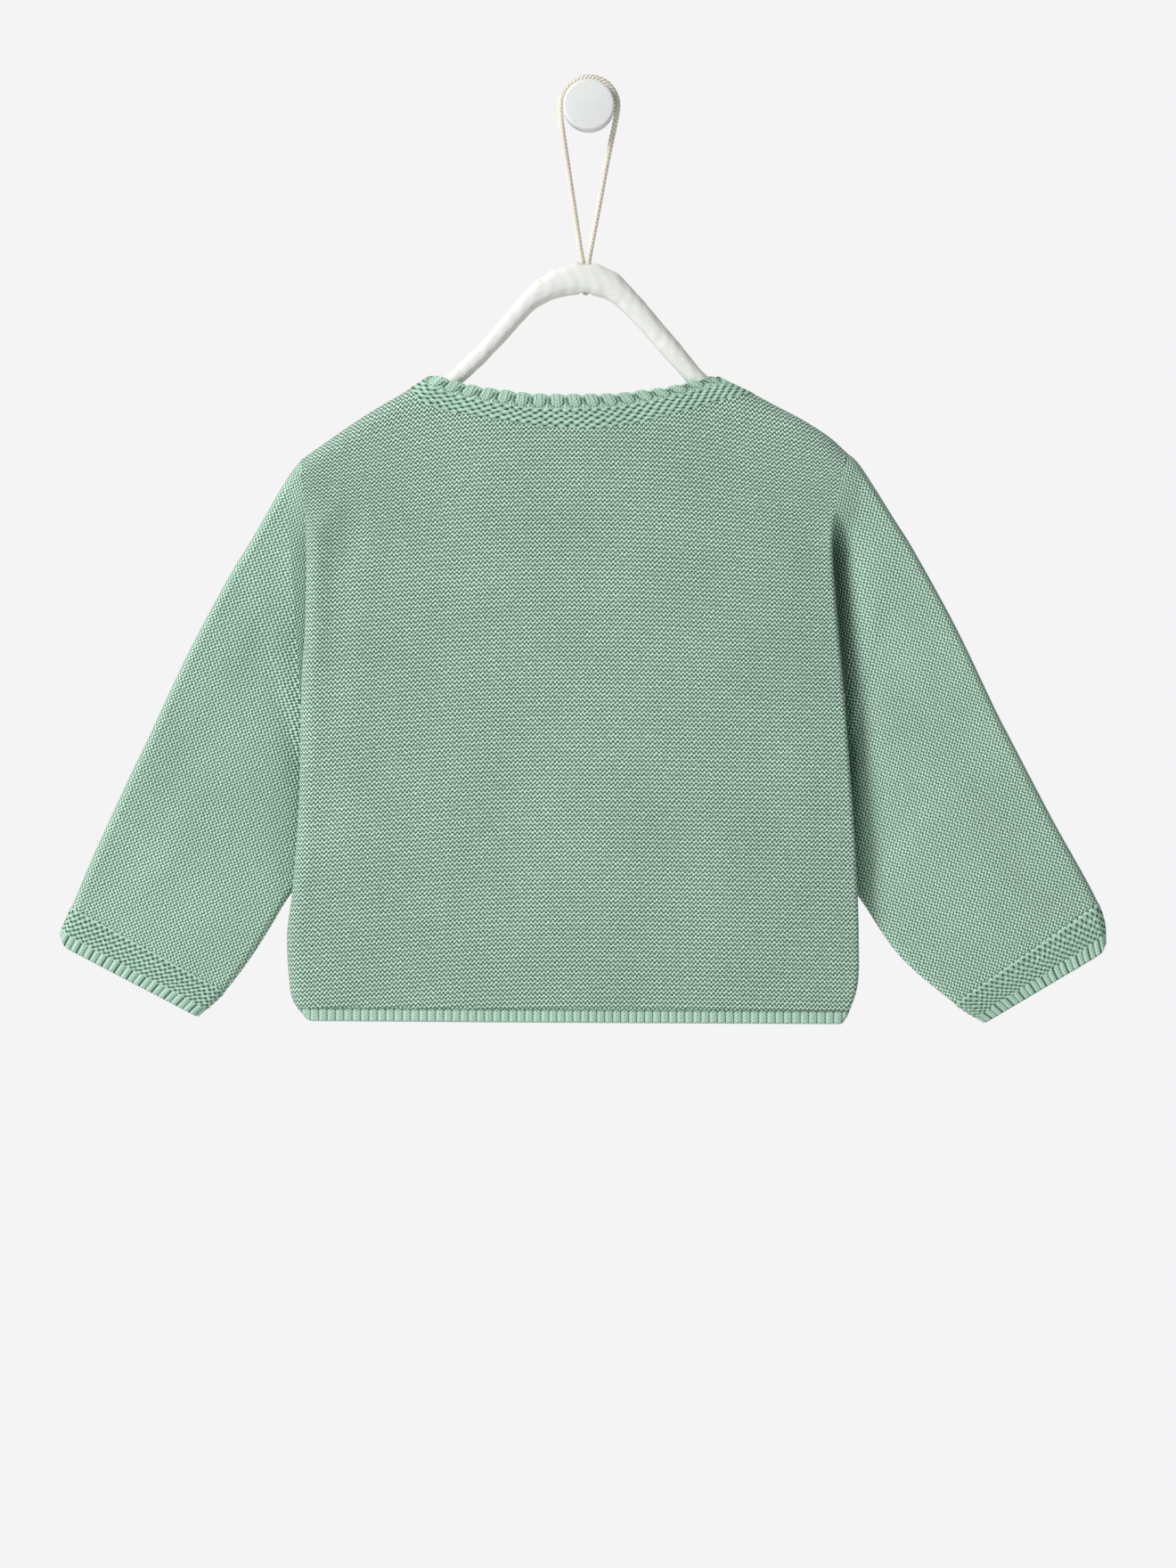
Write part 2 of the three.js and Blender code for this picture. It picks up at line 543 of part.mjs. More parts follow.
// A front band: its seam side is level with its front, and the upper one steps out over the lower one
function frontBand(seamX, way, over) {
  const stepOut = over ? CLOTH + SEAM : 0;
  const slope = BAND_WIDTH - BAND_LAP;
  const rounding = 0.4;
  const across = [SEAM / 2, slope, slope + BAND_LAP / 2, BAND_WIDTH - rounding, BAND_WIDTH];
  const lowZ = hemZ(seamX);
  const heights = spread([FRONT_NECK_Z + rounding, -215, CLOSING_Z, lowZ + RIB_HEIGHT, lowZ], 28);
  return wall(heights.map((z) => across.map((step, k) => {
    const raise = k === across.length - 1 ? -rounding : 0;
    return bodyPoint(seamX + way * step, z, FRONT, raise, k === 0 ? 0 : stepOut);
  })));
}

function buttonShape() {
  const radius = BUTTON.diameter / 2;
  const profile = [
    [0, 0], [radius * 0.8, 0], [radius, BUTTON.thick * 0.4], [radius * 0.94, BUTTON.thick * 0.9],
    [radius * 0.82, BUTTON.thick], [radius * 0.66, BUTTON.thick * 0.7], [0, BUTTON.thick * 0.7],
  ];
  return tidy(new THREE.LatheGeometry(profile.map(([r, y]) => new THREE.Vector2(r, y)), 14));
}

function pegShape() {
  const radius = PEG.diameter / 2;
  const profile = [new THREE.Vector2(0, 0), new THREE.Vector2(radius, 0)];
  for (let k = 0; k <= 3; k += 1) {
    const turn = (QUARTER * k) / 3;
    const out = radius - PEG.edge + PEG.edge * Math.cos(turn);
    profile.push(new THREE.Vector2(out, -PEG.length + PEG.edge - PEG.edge * Math.sin(turn)));
  }
  profile.push(new THREE.Vector2(0, -PEG.length));
  return tidy(new THREE.LatheGeometry(profile, 28));
}

// One mesh with shared corners and no empty faces
function tidy(geometry) {
  geometry.deleteAttribute("normal");
  geometry.deleteAttribute("uv");
  const merged = mergeVertices(geometry, 1e-3);
  const index = Array.from(merged.index.array);
  const kept = [];
  for (let k = 0; k < index.length; k += 3) {
    const [a, b, c] = index.slice(k, k + 3);
    if (a !== b && b !== c && a !== c) kept.push(a, b, c);
  }
  return solidOf(Array.from(merged.attributes.position.array), kept);
}

function toManifold(geometry) {
  return new wasm.Manifold(new wasm.Mesh({
    numProp: 3,
    vertProperties: new Float32Array(geometry.attributes.position.array),
    triVerts: new Uint32Array(geometry.index.array),
  }));
}

// A bent stick of oval section, with rounded tips and a slot through the top of its arch for the cord
function hangerShape() {
  const centre = new THREE.CatmullRomCurve3(stick.map((row) => new THREE.Vector3(row.x, MID_Y, row.z)));
  const numbered = stick.map((row, k) => ({ wide: row.wide, k }));
  const steps = 30;
  const sectionSides = 12;
  const tip = { long: 2.2, size: 0.35, next: 0.84 };
  const stations = [{ u: 0, size: tip.size, slide: -tip.long }];
  for (let k = 0; k <= steps; k += 1) {
    const size = k === 0 || k === steps ? tip.next : 1;
    stations.push({ u: k / steps, size, slide: 0 });
  }
  stations.push({ u: 1, size: tip.size, slide: tip.long });
  const points = [];
  for (const { u, size, slide } of stations) {
    const spot = centre.getPoint(u);
    const way = centre.getTangent(u);
    const across = new THREE.Vector3(-way.z, 0, way.x);
    const wide = lookup(numbered, "k", "wide", u * (stick.length - 1));
    spot.addScaledVector(way, slide);
    for (let j = 0; j < sectionSides; j += 1) {
      const turn = (2 * Math.PI * j) / sectionSides;
      const c = Math.cos(turn);
      const s = Math.sin(turn);
      const power = HANGER.squareness;
      const square = (Math.abs(c) ** power + Math.abs(s) ** power) ** (-1 / power);
      const point = spot.clone().addScaledVector(across, (wide / 2) * c * square * size);
      point.y += (HANGER.thick / 2) * s * square * size;
      points.push(point.x, point.y, point.z);
    }
  }
  const faces = [];
  for (let k = 0; k < stations.length - 1; k += 1) {
    for (let j = 0; j < sectionSides; j += 1) {
      const a = k * sectionSides + j;
      const b = k * sectionSides + ((j + 1) % sectionSides);
      faces.push(a, b, b + sectionSides, a, b + sectionSides, a + sectionSides);
    }
  }
  const lastRing = (stations.length - 1) * sectionSides;
  for (let j = 1; j < sectionSides - 1; j += 1) {
    faces.push(0, j + 1, j, lastRing, lastRing + j, lastRing + j + 1);
  }
  const cut = toManifold(solidOf(points, faces)).subtract(toManifold(slotShape()));
  const mesh = cut.getMesh();
  return solidOf(Array.from(mesh.vertProperties), Array.from(mesh.triVerts));
}

// The slot: long across, straight down through the arch
function slotShape() {
  const [long, wide] = HANGER.slot;
  const shape = new THREE.Shape();
  const radius = wide / 2;
  const reach = long / 2 - radius;
  shape.absarc(reach, 0, radius, -QUARTER, QUARTER, false);
  shape.absarc(-reach, 0, radius, QUARTER, 3 * QUARTER, false);
  const slot = new THREE.ExtrudeGeometry(shape, { depth: 40, bevelEnabled: false, curveSegments: 5 });
  slot.translate(SLOT_X, MID_Y, -100);
  return tidy(slot);
}

// The loop goes up through the slot, over the peg and back down through the slot
function cordShape() {
  const radius = PEG.diameter / 2 + CORD.gap + CORD.diameter / 2;
  const left = SLOT_X - CORD.legs / 2;
  const right = SLOT_X + CORD.legs / 2;
  const route = [[left, KNOT.topZ + CORD.gap], [left, -84], [left, -78], [left, -73]];
  for (const point of legs.left) route.push([point.x, point.z]);
  for (let k = 0; k <= 8; k += 1) {
    const turn = Math.PI - (Math.PI * k) / 8;
    route.push([radius * Math.cos(turn), radius * Math.sin(turn)]);
  }
  for (const point of [...legs.right].reverse()) route.push([point.x, point.z]);
  route.push([right, -73], [right, -78], [right, -84], [right, KNOT.topZ + CORD.gap]);
  const path = new THREE.CatmullRomCurve3(route.map(([x, z]) => new THREE.Vector3(x, MID_Y, z)));
  const section = new THREE.Shape();
  section.absarc(0, 0, CORD.diameter / 2, 0, 2 * Math.PI, false);
  return tidy(new THREE.ExtrudeGeometry(section, { steps: 42, extrudePath: path, curveSegments: 4 }));
}

// An oval knot that fills the slot's lower end
function knotShape() {
  const knot = new THREE.SphereGeometry(1, 10, 7);
  knot.rotateX(QUARTER);
  knot.scale(...KNOT.half);
  knot.translate(SLOT_X, MID_Y, KNOT.topZ - KNOT.half[2]);
  return tidy(knot);
}

const group = new THREE.Group();

function add(name, geometry, colour, roughness = 0.9) {
  geometry.computeVertexNormals();
  const material = new THREE.MeshStandardMaterial({ color: colour, roughness, metalness: 0 });
  const mesh = new THREE.Mesh(geometry, material);
  mesh.name = name;
  group.add(mesh);
  return mesh;
}

// Back
const backBandLine = bandLine(backBandEdge, BACK_SCALLOPS);
const backTop = [
  ...reversed(shoulders.left.slice(2)),
  ...underBand(backBandLine),
  ...shoulders.right.slice(3),
];
const backColumns = [
  ...foldColumns(sides.left[0].x, 1),
  ...spread(backTop.slice(1, -1).map((row) => row.x), PANEL_PITCH),
  ...foldColumns(sides.right[0].x, -1).reverse(),
];
add("back", panel(backTop, backColumns, BACK), COLOURS.knit);
const backWidth = sides.right.at(-2).x - sides.left.at(-2).x;
const backRibs = Math.round(backWidth / RIB_PITCH);
add("back_hem", hemStrip(sides.left[0].x, sides.right[0].x, backRibs, BACK), COLOURS.knit);

// Neckband across the back
add("neckband_back", neckband(backNeck, backBandLine, BACK), COLOURS.knit);

// Fronts, each with its own hem, its part of the neckband and its front band
for (const [side, way] of [["left", -1], ["right", 1]]) {
  const seamX = CENTRE_X + way * (BAND_WIDTH - BAND_LAP / 2);
  const outer = shoulders[side];
  const meet = backBandEdge.at(side === "left" ? 0 : -1);
  const lowCurve = frontNeck(meet, FRONT_NECK_Z - NECKBAND_WIDTH, seamX + way * (SEAM / 2));
  const lowLine = bandLine(lowCurve, FRONT_SCALLOPS);
  const neckEdge = frontNeck(outer[0], FRONT_NECK_Z, seamX + way * (SEAM / 2));
  const low = underBand(lowLine);
  const topEdge = [...reversed(outer.slice(side === "left" ? 2 : 3)), ...low];
  if (side === "right") topEdge.reverse();
  const inner = topEdge.slice(1, -1).map((row) => row.x);
  const columns = side === "left"
    ? [...foldColumns(sides.left[0].x, 1), ...spread([...inner, topEdge.at(-1).x], PANEL_PITCH)]
    : [...spread([topEdge[0].x, ...inner], PANEL_PITCH), ...foldColumns(sides.right[0].x, -1).reverse()];
  add(`${side}_front`, panel(topEdge, columns, FRONT), COLOURS.knit);
  add(`neckband_${side}`, neckband(neckEdge, lowLine, FRONT), COLOURS.knit);
  const ribs = Math.round(Math.abs(seamX - sides[side].at(-2).x) / RIB_PITCH);
  const ends = [sides[side][0].x, seamX + way * (SEAM / 2)];
  add(`${side}_front_hem`, hemStrip(ends[0], ends[1], ribs, FRONT), COLOURS.knit);
  add(`${side}_front_band`, frontBand(seamX, -way, side === "right"), COLOURS.knit);
  add(`${side}_sleeve`, sleeve(side), COLOURS.knit);
  add(`${side}_cuff`, cuff(side), COLOURS.knit);
}

// Buttons on the upper front band, with their dished faces towards the wall
for (let k = 0; k < BUTTON.count; k += 1) {
  const z = mix(BUTTON.first, BUTTON.last, k / (BUTTON.count - 1));
  const seat = bodyPoint(CENTRE_X, z, FRONT, 0, CLOTH + SEAM).outer.y + SEAM;
  const button = add(`button_${k + 1}`, buttonShape(), COLOURS.button, 0.35);
  button.position.set(CENTRE_X, seat, z);
}

// Hanger, cord loop and peg
add("hanger", hangerShape(), COLOURS.wood, 0.5);
add("hanging_loop", cordShape(), COLOURS.cord);
add("loop_knot", knotShape(), COLOURS.cord);
add("wall_peg", pegShape(), COLOURS.peg, 0.5);

export default group;
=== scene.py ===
# %% [markdown]
# # A baby cardigan on its hanger
# The real thing is a small cotton cardigan, knitted with its purl side out. It hangs with its back to us
# on a bent, white-painted stick whose cord loop goes over a round peg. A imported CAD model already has
# every size, so this lesson only dresses it. We load that model first, and every new piece goes where
# its solid is. Blender works in metres, but a knitter thinks in millimetres, so the numbers below are
# millimetres and become metres when a mesh is made.

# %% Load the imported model
import math
import bpy
import numpy as np
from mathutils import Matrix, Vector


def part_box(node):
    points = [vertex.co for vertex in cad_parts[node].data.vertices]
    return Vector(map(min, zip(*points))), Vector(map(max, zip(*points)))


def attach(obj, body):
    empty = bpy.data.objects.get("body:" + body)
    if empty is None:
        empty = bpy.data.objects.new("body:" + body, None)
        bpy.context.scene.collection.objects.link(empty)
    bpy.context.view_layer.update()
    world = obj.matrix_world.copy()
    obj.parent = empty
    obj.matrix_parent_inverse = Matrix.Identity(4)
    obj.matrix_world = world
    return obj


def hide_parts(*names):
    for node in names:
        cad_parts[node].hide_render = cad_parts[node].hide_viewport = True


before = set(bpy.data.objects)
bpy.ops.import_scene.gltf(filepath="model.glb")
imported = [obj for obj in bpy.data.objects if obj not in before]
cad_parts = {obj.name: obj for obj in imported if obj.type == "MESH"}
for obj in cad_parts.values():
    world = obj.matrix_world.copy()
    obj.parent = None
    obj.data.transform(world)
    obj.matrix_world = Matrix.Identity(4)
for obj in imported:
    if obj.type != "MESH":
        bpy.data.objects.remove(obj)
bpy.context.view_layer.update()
bpy.ops.object.select_all(action="DESELECT")

# %% [markdown]
# ## The camera
# A product photo is taken from far away, so that nothing looks bent: in the photo even the peg shows
# only its end. A long lens from six metres does the same. The camera looks level along +Y, and its
# picture is 554 mm wide at the cloth. The plain "Standard" transform keeps pale colours pale.

# %% Camera
PICTURE_WIDE = 554.4
CAMERA_AWAY = 6.0
CLOTH_Y = -18.0
SENSOR = 36.0

camera_place = (-0.0004, CLOTH_Y / 1000 - CAMERA_AWAY, -0.32)
bpy.ops.object.camera_add(location=camera_place, rotation=(math.pi / 2, 0, 0))
camera = bpy.context.object
camera.name = "photo_camera"
camera.data.sensor_width = SENSOR
camera.data.lens = SENSOR * CAMERA_AWAY * 1000 / (PICTURE_WIDE * 4 / 3)
camera.data.clip_end = 20
bpy.context.scene.camera = camera
bpy.context.scene.view_settings.view_transform = "Standard"
print("lens", round(camera.data.lens, 1), "mm")

# %% [markdown]
# ## Helpers for curves
# The garment is drawn with tables of a few measured points. We read such a table in two ways: as a smooth
# curve through it, and as even places along it. Steps, bells and waves then shape folds and stitches.

# %% Smooth curve through a table
def smooth_curve(at, knots, values):
    """Read a table at many places. The knots rise."""
    knots, values = np.array(knots, float), np.array(values, float)
    last = len(knots) - 1
    i = np.clip(np.searchsorted(knots, at) - 1, 0, last - 1)
    before, after = np.maximum(i - 1, 0), np.minimum(i + 2, last)
    span = knots[i + 1] - knots[i]
    rise = values[i + 1] - values[i]
    slope_a = (values[i + 1] - values[before]) / (knots[i + 1] - knots[before])
    slope_b = (values[after] - values[i]) / (knots[after] - knots[i])
    t = np.clip((at - knots[i]) / span, 0, 1)
    bend = (1 - t) * (slope_a * span - rise) + t * (rise - slope_b * span)
    return values[i] + t * rise + t * (1 - t) * bend


def lengths_along(points):
    """How far each point is along its line."""
    return np.r_[0, np.cumsum(np.linalg.norm(np.diff(points, axis=0), axis=1))]


def even_places(points, count):
    """Even places along a smooth line through points."""
    p = np.array(points, float)
    ends = np.vstack([p[:1], p, p[-1:]])
    t = np.linspace(0, len(p) - 1, 2400)
    i = np.minimum(t.astype(int), len(p) - 2)
    f = (t - i)[:, None]
    a, b, c, d = (ends[i + k] for k in range(4))
    line = b + 0.5 * f * ((c - a) + f * ((2 * a - 5 * b + 4 * c - d) + f * (3 * (b - c) + d - a)))
    way = lengths_along(line)
    at = np.linspace(0, way[-1], count)
    return np.column_stack([np.interp(at, way, column) for column in line.T])


def mix(a, b, t):
    """a where t is 0, b where t is 1."""
    return a + (b - a) * t


def step_up(value, low, high):
    """0 below low, 1 above high, smooth between."""
    t = np.clip((value - low) / (high - low), 0, 1)
    return t * t * (3 - 2 * t)


def bell(value, width):
    """1 where the value is 0, fading to 0 on both sides over this width."""
    return np.exp(-((value / width) ** 2))


def wave(turns):
    """A cosine that comes round once for each whole number."""
    return np.cos(2 * math.pi * turns)


# %% [markdown]
# ## The garment's measurements
# These are the same points as in the solid: the folded shoulders, the side edges, the neck, and how deep
# the flat-hanging cloth is. x is across, z is up, and the mid plane is where back and front meet. Left and
# right are as we look at the back. Each table of two lists gives heights first, then the values there.

# %% Measurements of the body
CLOTH = 1.9
MID_Y = -13.0
CENTRE_X = -6.7
HEM_LEFT, HEM_RIGHT = -431.4, -432.8
RIB_HEIGHT = 5.5
CLOSING_Z, ARMHOLE_Z = -266.0, -273.8
BACK, FRONT = -1, 1

shoulder = {
    "left": even_places([(-73.5, -126.8), (-84, -133.2), (-88.6, -136.1), (-101.2, -143.4), (-113.8, -151.6),
                         (-126.4, -160.4), (-135.7, -167)], 40),
    "right": even_places([(59.2, -127.3), (70, -131.8), (78.5, -136.3), (87.8, -141.3), (100.4, -147.9),
                          (113, -155.9), (121.4, -163.4)], 40),
}
side_edge = {
    "left": ([-432.8, -423, -412.4, -391, -370.4, -328.4, -273.8, -243.6, -202.4, -167],
             [-131, -139.2, -141.4, -142.4, -139.9, -136.9, -135.7, -134, -133.6, -135.7]),
    "right": ([-434, -425, -414, -395.6, -370.4, -328.4, -273.8, -230.6, -202.4, -163.4],
              [119, 123.8, 127, 127.4, 126.8, 124.3, 120.1, 116.3, 115.1, 121.4]),
}
back_neck = [(-73.5, -126.8), (-63.4, -130.2), (-50.8, -133.1), (-38.2, -134.8), (-25.6, -136.3),
             (-6.7, -136.5), (12.2, -136.1), (24.8, -134.6), (37.4, -132.9), (50, -129.6), (59.2, -127.3)]
back_band_edge = [(-84, -133.2), (-78.5, -140.3), (-65.5, -144.5), (-39.5, -148.9), (-21.4, -151.4),
                  (-0.4, -152.4), (18.9, -150.4), (40.7, -145.3), (57.5, -140.3), (70.5, -137.3),
                  (78.5, -136.3)]
# half_depth: from the mid plane to the cloth. edge_stand: the same at the side edge, where the cloth lies
# flat on the sleeve. flank: how wide the turn to the side edge is.
half_depth = ([-440, -265, -215, -180, -120], [4.6, 4.7, 6, 6.9, 7])
edge_stand = {
    "left": ([-440, ARMHOLE_Z, CLOSING_Z, -245, -215, -200, -184, -120], [0, 0, 0.3, 0.6, 1.4, 3.6, 6.8, 7]),
    "right": ([-440, ARMHOLE_Z, CLOSING_Z, -245, -218, -202, -192, -120], [0, 0, 0.2, 0.3, 0.6, 2.2, 6.8, 7]),
}
flank = {"left": 7.0, "right": 1.2}
LEFT_X, RIGHT_X = (side_edge[side][1][-1] for side in ("left", "right"))
print("chest", round(side_edge["right"][1][5] - side_edge["left"][1][5]), "mm across")

# %% [markdown]
# ## Folds
# Knitted cotton hangs in a few soft folds, with nothing sharp. Each is a long, low hill or trough given by
# where it is, its length and width, how it is turned, and how far it stands out. The uneven set follows
# the photo, and a similar one is on the sides that it doesn't show.

# %% Folds placed one by one
# x, z, length, width, turn in degrees, height
folds = {
    BACK: [(-124, -196, 16, 5, 55, 0.9), (-116, -212, 20, 7, 62, -0.8), (102, -200, 20, 7, -50, -0.7),
           (-98, -411, 28, 7, 14, 0.5), (-86, -384, 30, 8, 10, 0.5), (-60, -330, 60, 16, 84, 0.7),
           (62, -345, 55, 18, 96, 0.6), (-30, -250, 70, 22, 78, -0.5), (30, -215, 48, 16, 100, 0.4),
           (96, -300, 60, 12, 92, 0.5), (-112, -300, 70, 9, 87, 0.5), (-10, -395, 40, 16, 70, -0.4),
           (98, -395, 30, 9, 150, 0.4), (-60, -168, 34, 9, 24, -0.5), (56, -165, 32, 9, -22, -0.5),
           (-129, -235, 60, 5, 90, 0.7), (-116, -222, 48, 8, 86, -1.1), (106, -215, 30, 8, 80, -0.6)],
    FRONT: [(-78, -300, 60, 15, 82, 0.6), (60, -310, 62, 15, 97, 0.6), (-96, -208, 20, 7, 60, -0.7),
            (84, -206, 20, 7, -58, -0.7), (-60, -395, 36, 12, 20, 0.5), (70, -390, 34, 12, 160, 0.5),
            (-46, -230, 40, 11, 100, -0.5), (40, -228, 40, 11, 80, -0.5)],
    "sleeves": [(-168, -262, 42, 9, 61, 0.7), (-197, -350, 34, 8, 66, 0.5), (156, -266, 46, 9, -61, 0.7),
                (188, -352, 34, 8, -58, 0.5), (-150, -236, 30, 7, 72, -0.5), (139, -236, 30, 7, -70, -0.5),
                (-186, -300, 40, 8, 64, -0.4), (174, -300, 40, 8, -60, -0.4), (-214, -372, 22, 6, 40, 0.4),
                (206, -374, 22, 6, -40, 0.4)],
}


def swell(rows, x, z):
    """How far all folds of a table raise the cloth at each place."""
    total = np.zeros(np.shape(x))
    for fold_x, fold_z, long, wide, turn, height in rows:
        c, s = math.cos(math.radians(turn)), math.sin(math.radians(turn))
        along = (x - fold_x) * c + (z - fold_z) * s
        across = (z - fold_z) * c - (x - fold_x) * s
        total += height * np.exp(-((along / long) ** 2) - (across / wide) ** 2)
    return total


print("folds:", {str(k): len(v) for k, v in folds.items()})

# %% [markdown]
# ## The body's surface
# The cloth is flat in the middle and turns over at the shoulders and the sides, like a pillow case. One
# function gives the surface at any place on it, with the direction that faces outwards. It also gives how
# much longer the cloth is round a fold than it looks from the front, so that the stitches keep their size.

# %% The body's surface
def near_fold(line, x, z):
    """Distance to a folded edge, and the way out across it."""
    gap = np.full(np.shape(x), 1e9)
    out_x, out_z = np.zeros(np.shape(x)), np.zeros(np.shape(x))
    for k in range(len(line) - 1):
        dx, dz = line[k + 1] - line[k]
        long = math.hypot(dx, dz)
        t = ((x - line[k, 0]) * dx + (z - line[k, 1]) * dz) / long**2
        t = np.clip(t, 0 if k == 0 else -1, 1)
        here = np.hypot(line[k, 0] + t * dx - x, line[k, 1] + t * dz - z)
        nearer = here < gap
        gap = np.where(nearer, here, gap)
        out_x = np.where(nearer, -dz / long * math.copysign(1, dx), out_x)
        out_z = np.where(nearer, abs(dx) / long, out_z)
    return gap, out_x, out_z


def turned(gap, radius):
    """Angle round a folded edge: 0 at the fold, a quarter turn where the cloth is flat again."""
    return np.arccos(np.clip(1 - gap / radius, 0, 1))


def body_surface(x, z, face, proud=0):
    """Gives the surface, its outward directions, and how much longer the cloth is than it looks."""
    half = smooth_curve(z, *half_depth)
    top = half.copy()
    lean_x, lean_z = np.zeros(x.shape), np.zeros(x.shape)
    more_x, more_z = np.zeros(x.shape), np.zeros(x.shape)
    for line in shoulder.values():
        gap, out_x, out_z = near_fold(line, x, z)
        turn = turned(gap, half)
        top = np.minimum(top, half * np.sin(turn))
        lean_x += out_x * np.cos(turn)
        lean_z += out_z * np.cos(turn)
        longer = half * (math.pi / 2 - 1) - (half * turn - np.minimum(gap, half))
        more_x += out_x * longer
        more_z += out_z * longer
    stand = top.copy()
    for side, way in (("left", -1), ("right", 1)):
        edge = np.minimum(np.interp(z, *edge_stand[side]), top)
        inside = np.maximum((smooth_curve(z, *side_edge[side]) - x) * way, 0)
        turn = turned(inside, flank[side])
        stand = np.minimum(stand, mix(edge, top, np.sin(turn)))
        tip = np.sqrt(np.maximum(1 - (edge / np.maximum(top, 0.01)) ** 2, 0))
        lean_x += way * np.cos(turn) * tip
        longer = flank[side] * (math.pi / 2 - turn) - np.maximum(flank[side] - inside, 0)
        more_x += way * longer * tip
    stand = np.maximum(stand + swell(folds[face], x, z) * (stand / half), 0) + proud
    scale = 1 / np.maximum(np.hypot(lean_x, lean_z), 1)
    out = np.stack([lean_x * scale, np.zeros(x.shape), lean_z * scale], -1)
    out[..., 1] = face * np.sqrt(np.maximum(1 - (out**2).sum(-1), 0))
    skin = np.stack([x, MID_Y + face * stand, z], -1)
    return skin, out, np.stack([more_x, more_z], -1)


# %% [markdown]
# ## From a grid of points to a thin knitted shell
# A sheet of cloth is a grid of points outside, the same grid a cloth's thickness further in, and a
# rounded rim between them. A grid that closes on itself makes a tube. We write the mesh in code because
# every stitch needs its place in the UV map: one unit of the map is one stitch, across and up.

# %% Shell maker
def unit(v):
    """The same directions, each one long."""
    return v / np.maximum(np.linalg.norm(v, axis=-1, keepdims=True), 1e-9)


def add_piece(name, mesh):
    """Put a mesh into the scene as a piece."""
    piece = bpy.data.objects.new(name, mesh)
    bpy.context.scene.collection.objects.link(piece)
    return piece


def knit_shell(name, outer, inner, zones, tube=False, hollow=None, rim=0.55):
    """zones: (first row, grid of stitch counts, finish) from the first row down.
    hollow: 0 to 1 for each outer point, the painted shade of how deep it lies. rim: how far the edges are
    rounded out."""
    rows, cols = outer.shape[:2]
    first = (outer[0] + inner[0]) / 2 + unit(outer[0] - outer[1]) * rim
    final = (outer[-1] + inner[-1]) / 2 + unit(outer[-1] - outer[-2]) * rim
    points = np.concatenate([outer, final[None], inner[::-1], first[None]])
    count = len(points)
    i, j = np.meshgrid(np.arange(count), np.arange(cols if tube else cols - 1), indexing="ij")
    down, beside = (i + 1) % count, (j + 1) % cols
    faces = np.stack([i * cols + j, i * cols + beside, down * cols + beside, down * cols + j], -1)
    row_of = np.r_[np.arange(rows), rows - 1, np.arange(rows)[::-1], 0]
    marks = np.zeros((*i.shape, 4, 2))
    finish_of = np.zeros(i.shape, int)
    for index, (start, counts, _) in enumerate(zones):
        here = row_of[i] >= start
        corners = [(row_of[i], j), (row_of[i], j + 1), (row_of[down], j + 1), (row_of[down], j)]
        marks[here] = np.stack([counts[r, c] for r, c in corners], -2)[here]
        finish_of[here] = index
    smooth = ~np.isin(i, (rows - 1, rows, 2 * rows, 2 * rows + 1)).ravel()
    faces, marks, finish_of = faces.reshape(-1, 4), marks.reshape(-1, 4, 2), finish_of.ravel()
    if not tube:
        k = np.arange(rows - 1)
        back_row = 2 * rows - k
        for col, turn in ((0, 1), (cols - 1, -1)):
            cap = np.stack([k, k + 1, back_row - 1, back_row], -1)
            ends = [[2 * rows, 2 * rows + 1, 0, 0], [rows - 1, rows, rows + 1, rows + 1]]
            cap = (np.vstack([cap, ends]) * cols + col)[:, ::turn]
            cap_marks = np.repeat(zones[0][1][0, col][None, None], len(cap), 0).repeat(4, 1)
            faces, marks = np.vstack([faces, cap]), np.vstack([marks, cap_marks])
            finish_of = np.r_[finish_of, np.zeros(len(cap), int)]
            smooth = np.r_[smooth, np.zeros(len(cap), bool)]
    flat = points.reshape(-1, 3)
    a, b, c, d = (flat[faces[:, k]] for k in range(4))
    volume = (np.cross(a, b) * c).sum() + (np.cross(a, c) * d).sum()
    # A shell that is inside out has a negative volume.
    if volume < 0:
        faces, marks = faces[:, ::-1], marks[:, ::-1]
    # The faces at the ends of a rim are triangles, so a point that comes twice is kept once.
    shapes, spots = [], []
    for face, mark in zip(faces.tolist(), marks.tolist()):
        kept = [k for k in range(4) if face[k] != face[k - 1]]
        shapes.append([face[k] for k in kept])
        spots += [mark[k] for k in kept]
    mesh = bpy.data.meshes.new(name)
    mesh.from_pydata((flat / 1000).tolist(), [], shapes)
    mesh.uv_layers.new(name="stitches").data.foreach_set("uv", np.array(spots).ravel())
    # Painted shade: 0 to 1 for each outer point, kept as a mesh attribute that darkens the knit's colour.
    depth = np.zeros(len(flat))
    if hollow is not None:
        depth[: rows * cols] = np.clip(hollow, 0, 1).ravel()
    mesh.attributes.new("hollow", "FLOAT", "POINT").data.foreach_set("value", depth)
    mesh.polygons.foreach_set("use_smooth", smooth)
    mesh.polygons.foreach_set("material_index", finish_of)
    for _, _, finish in zones:
        mesh.materials.append(finish)
    print(f"{name}: {len(shapes)} faces")
    return add_piece(name, mesh)


# %% [markdown]
# ## Colours and nodes
# Paint charts and photo editors give colours in sRGB, and shaders work in linear light, so one function
# turns one into the other. Another small function adds a node with its settings and links. Patterns are
# measured in millimetres, and a piece's own coordinates are metres, so a third function goes between.

# %% Colour and node helpers
def linear(code):
    channels = [((code >> shift) & 255) / 255 for shift in (16, 8, 0)]
    return [c / 12.92 if c <= 0.04045 else ((c + 0.055) / 1.055) ** 2.4 for c in channels] + [1.0]


def per_mm(count):
    """A noise scale that gives so many grains in a millimetre."""
    return count * 1000


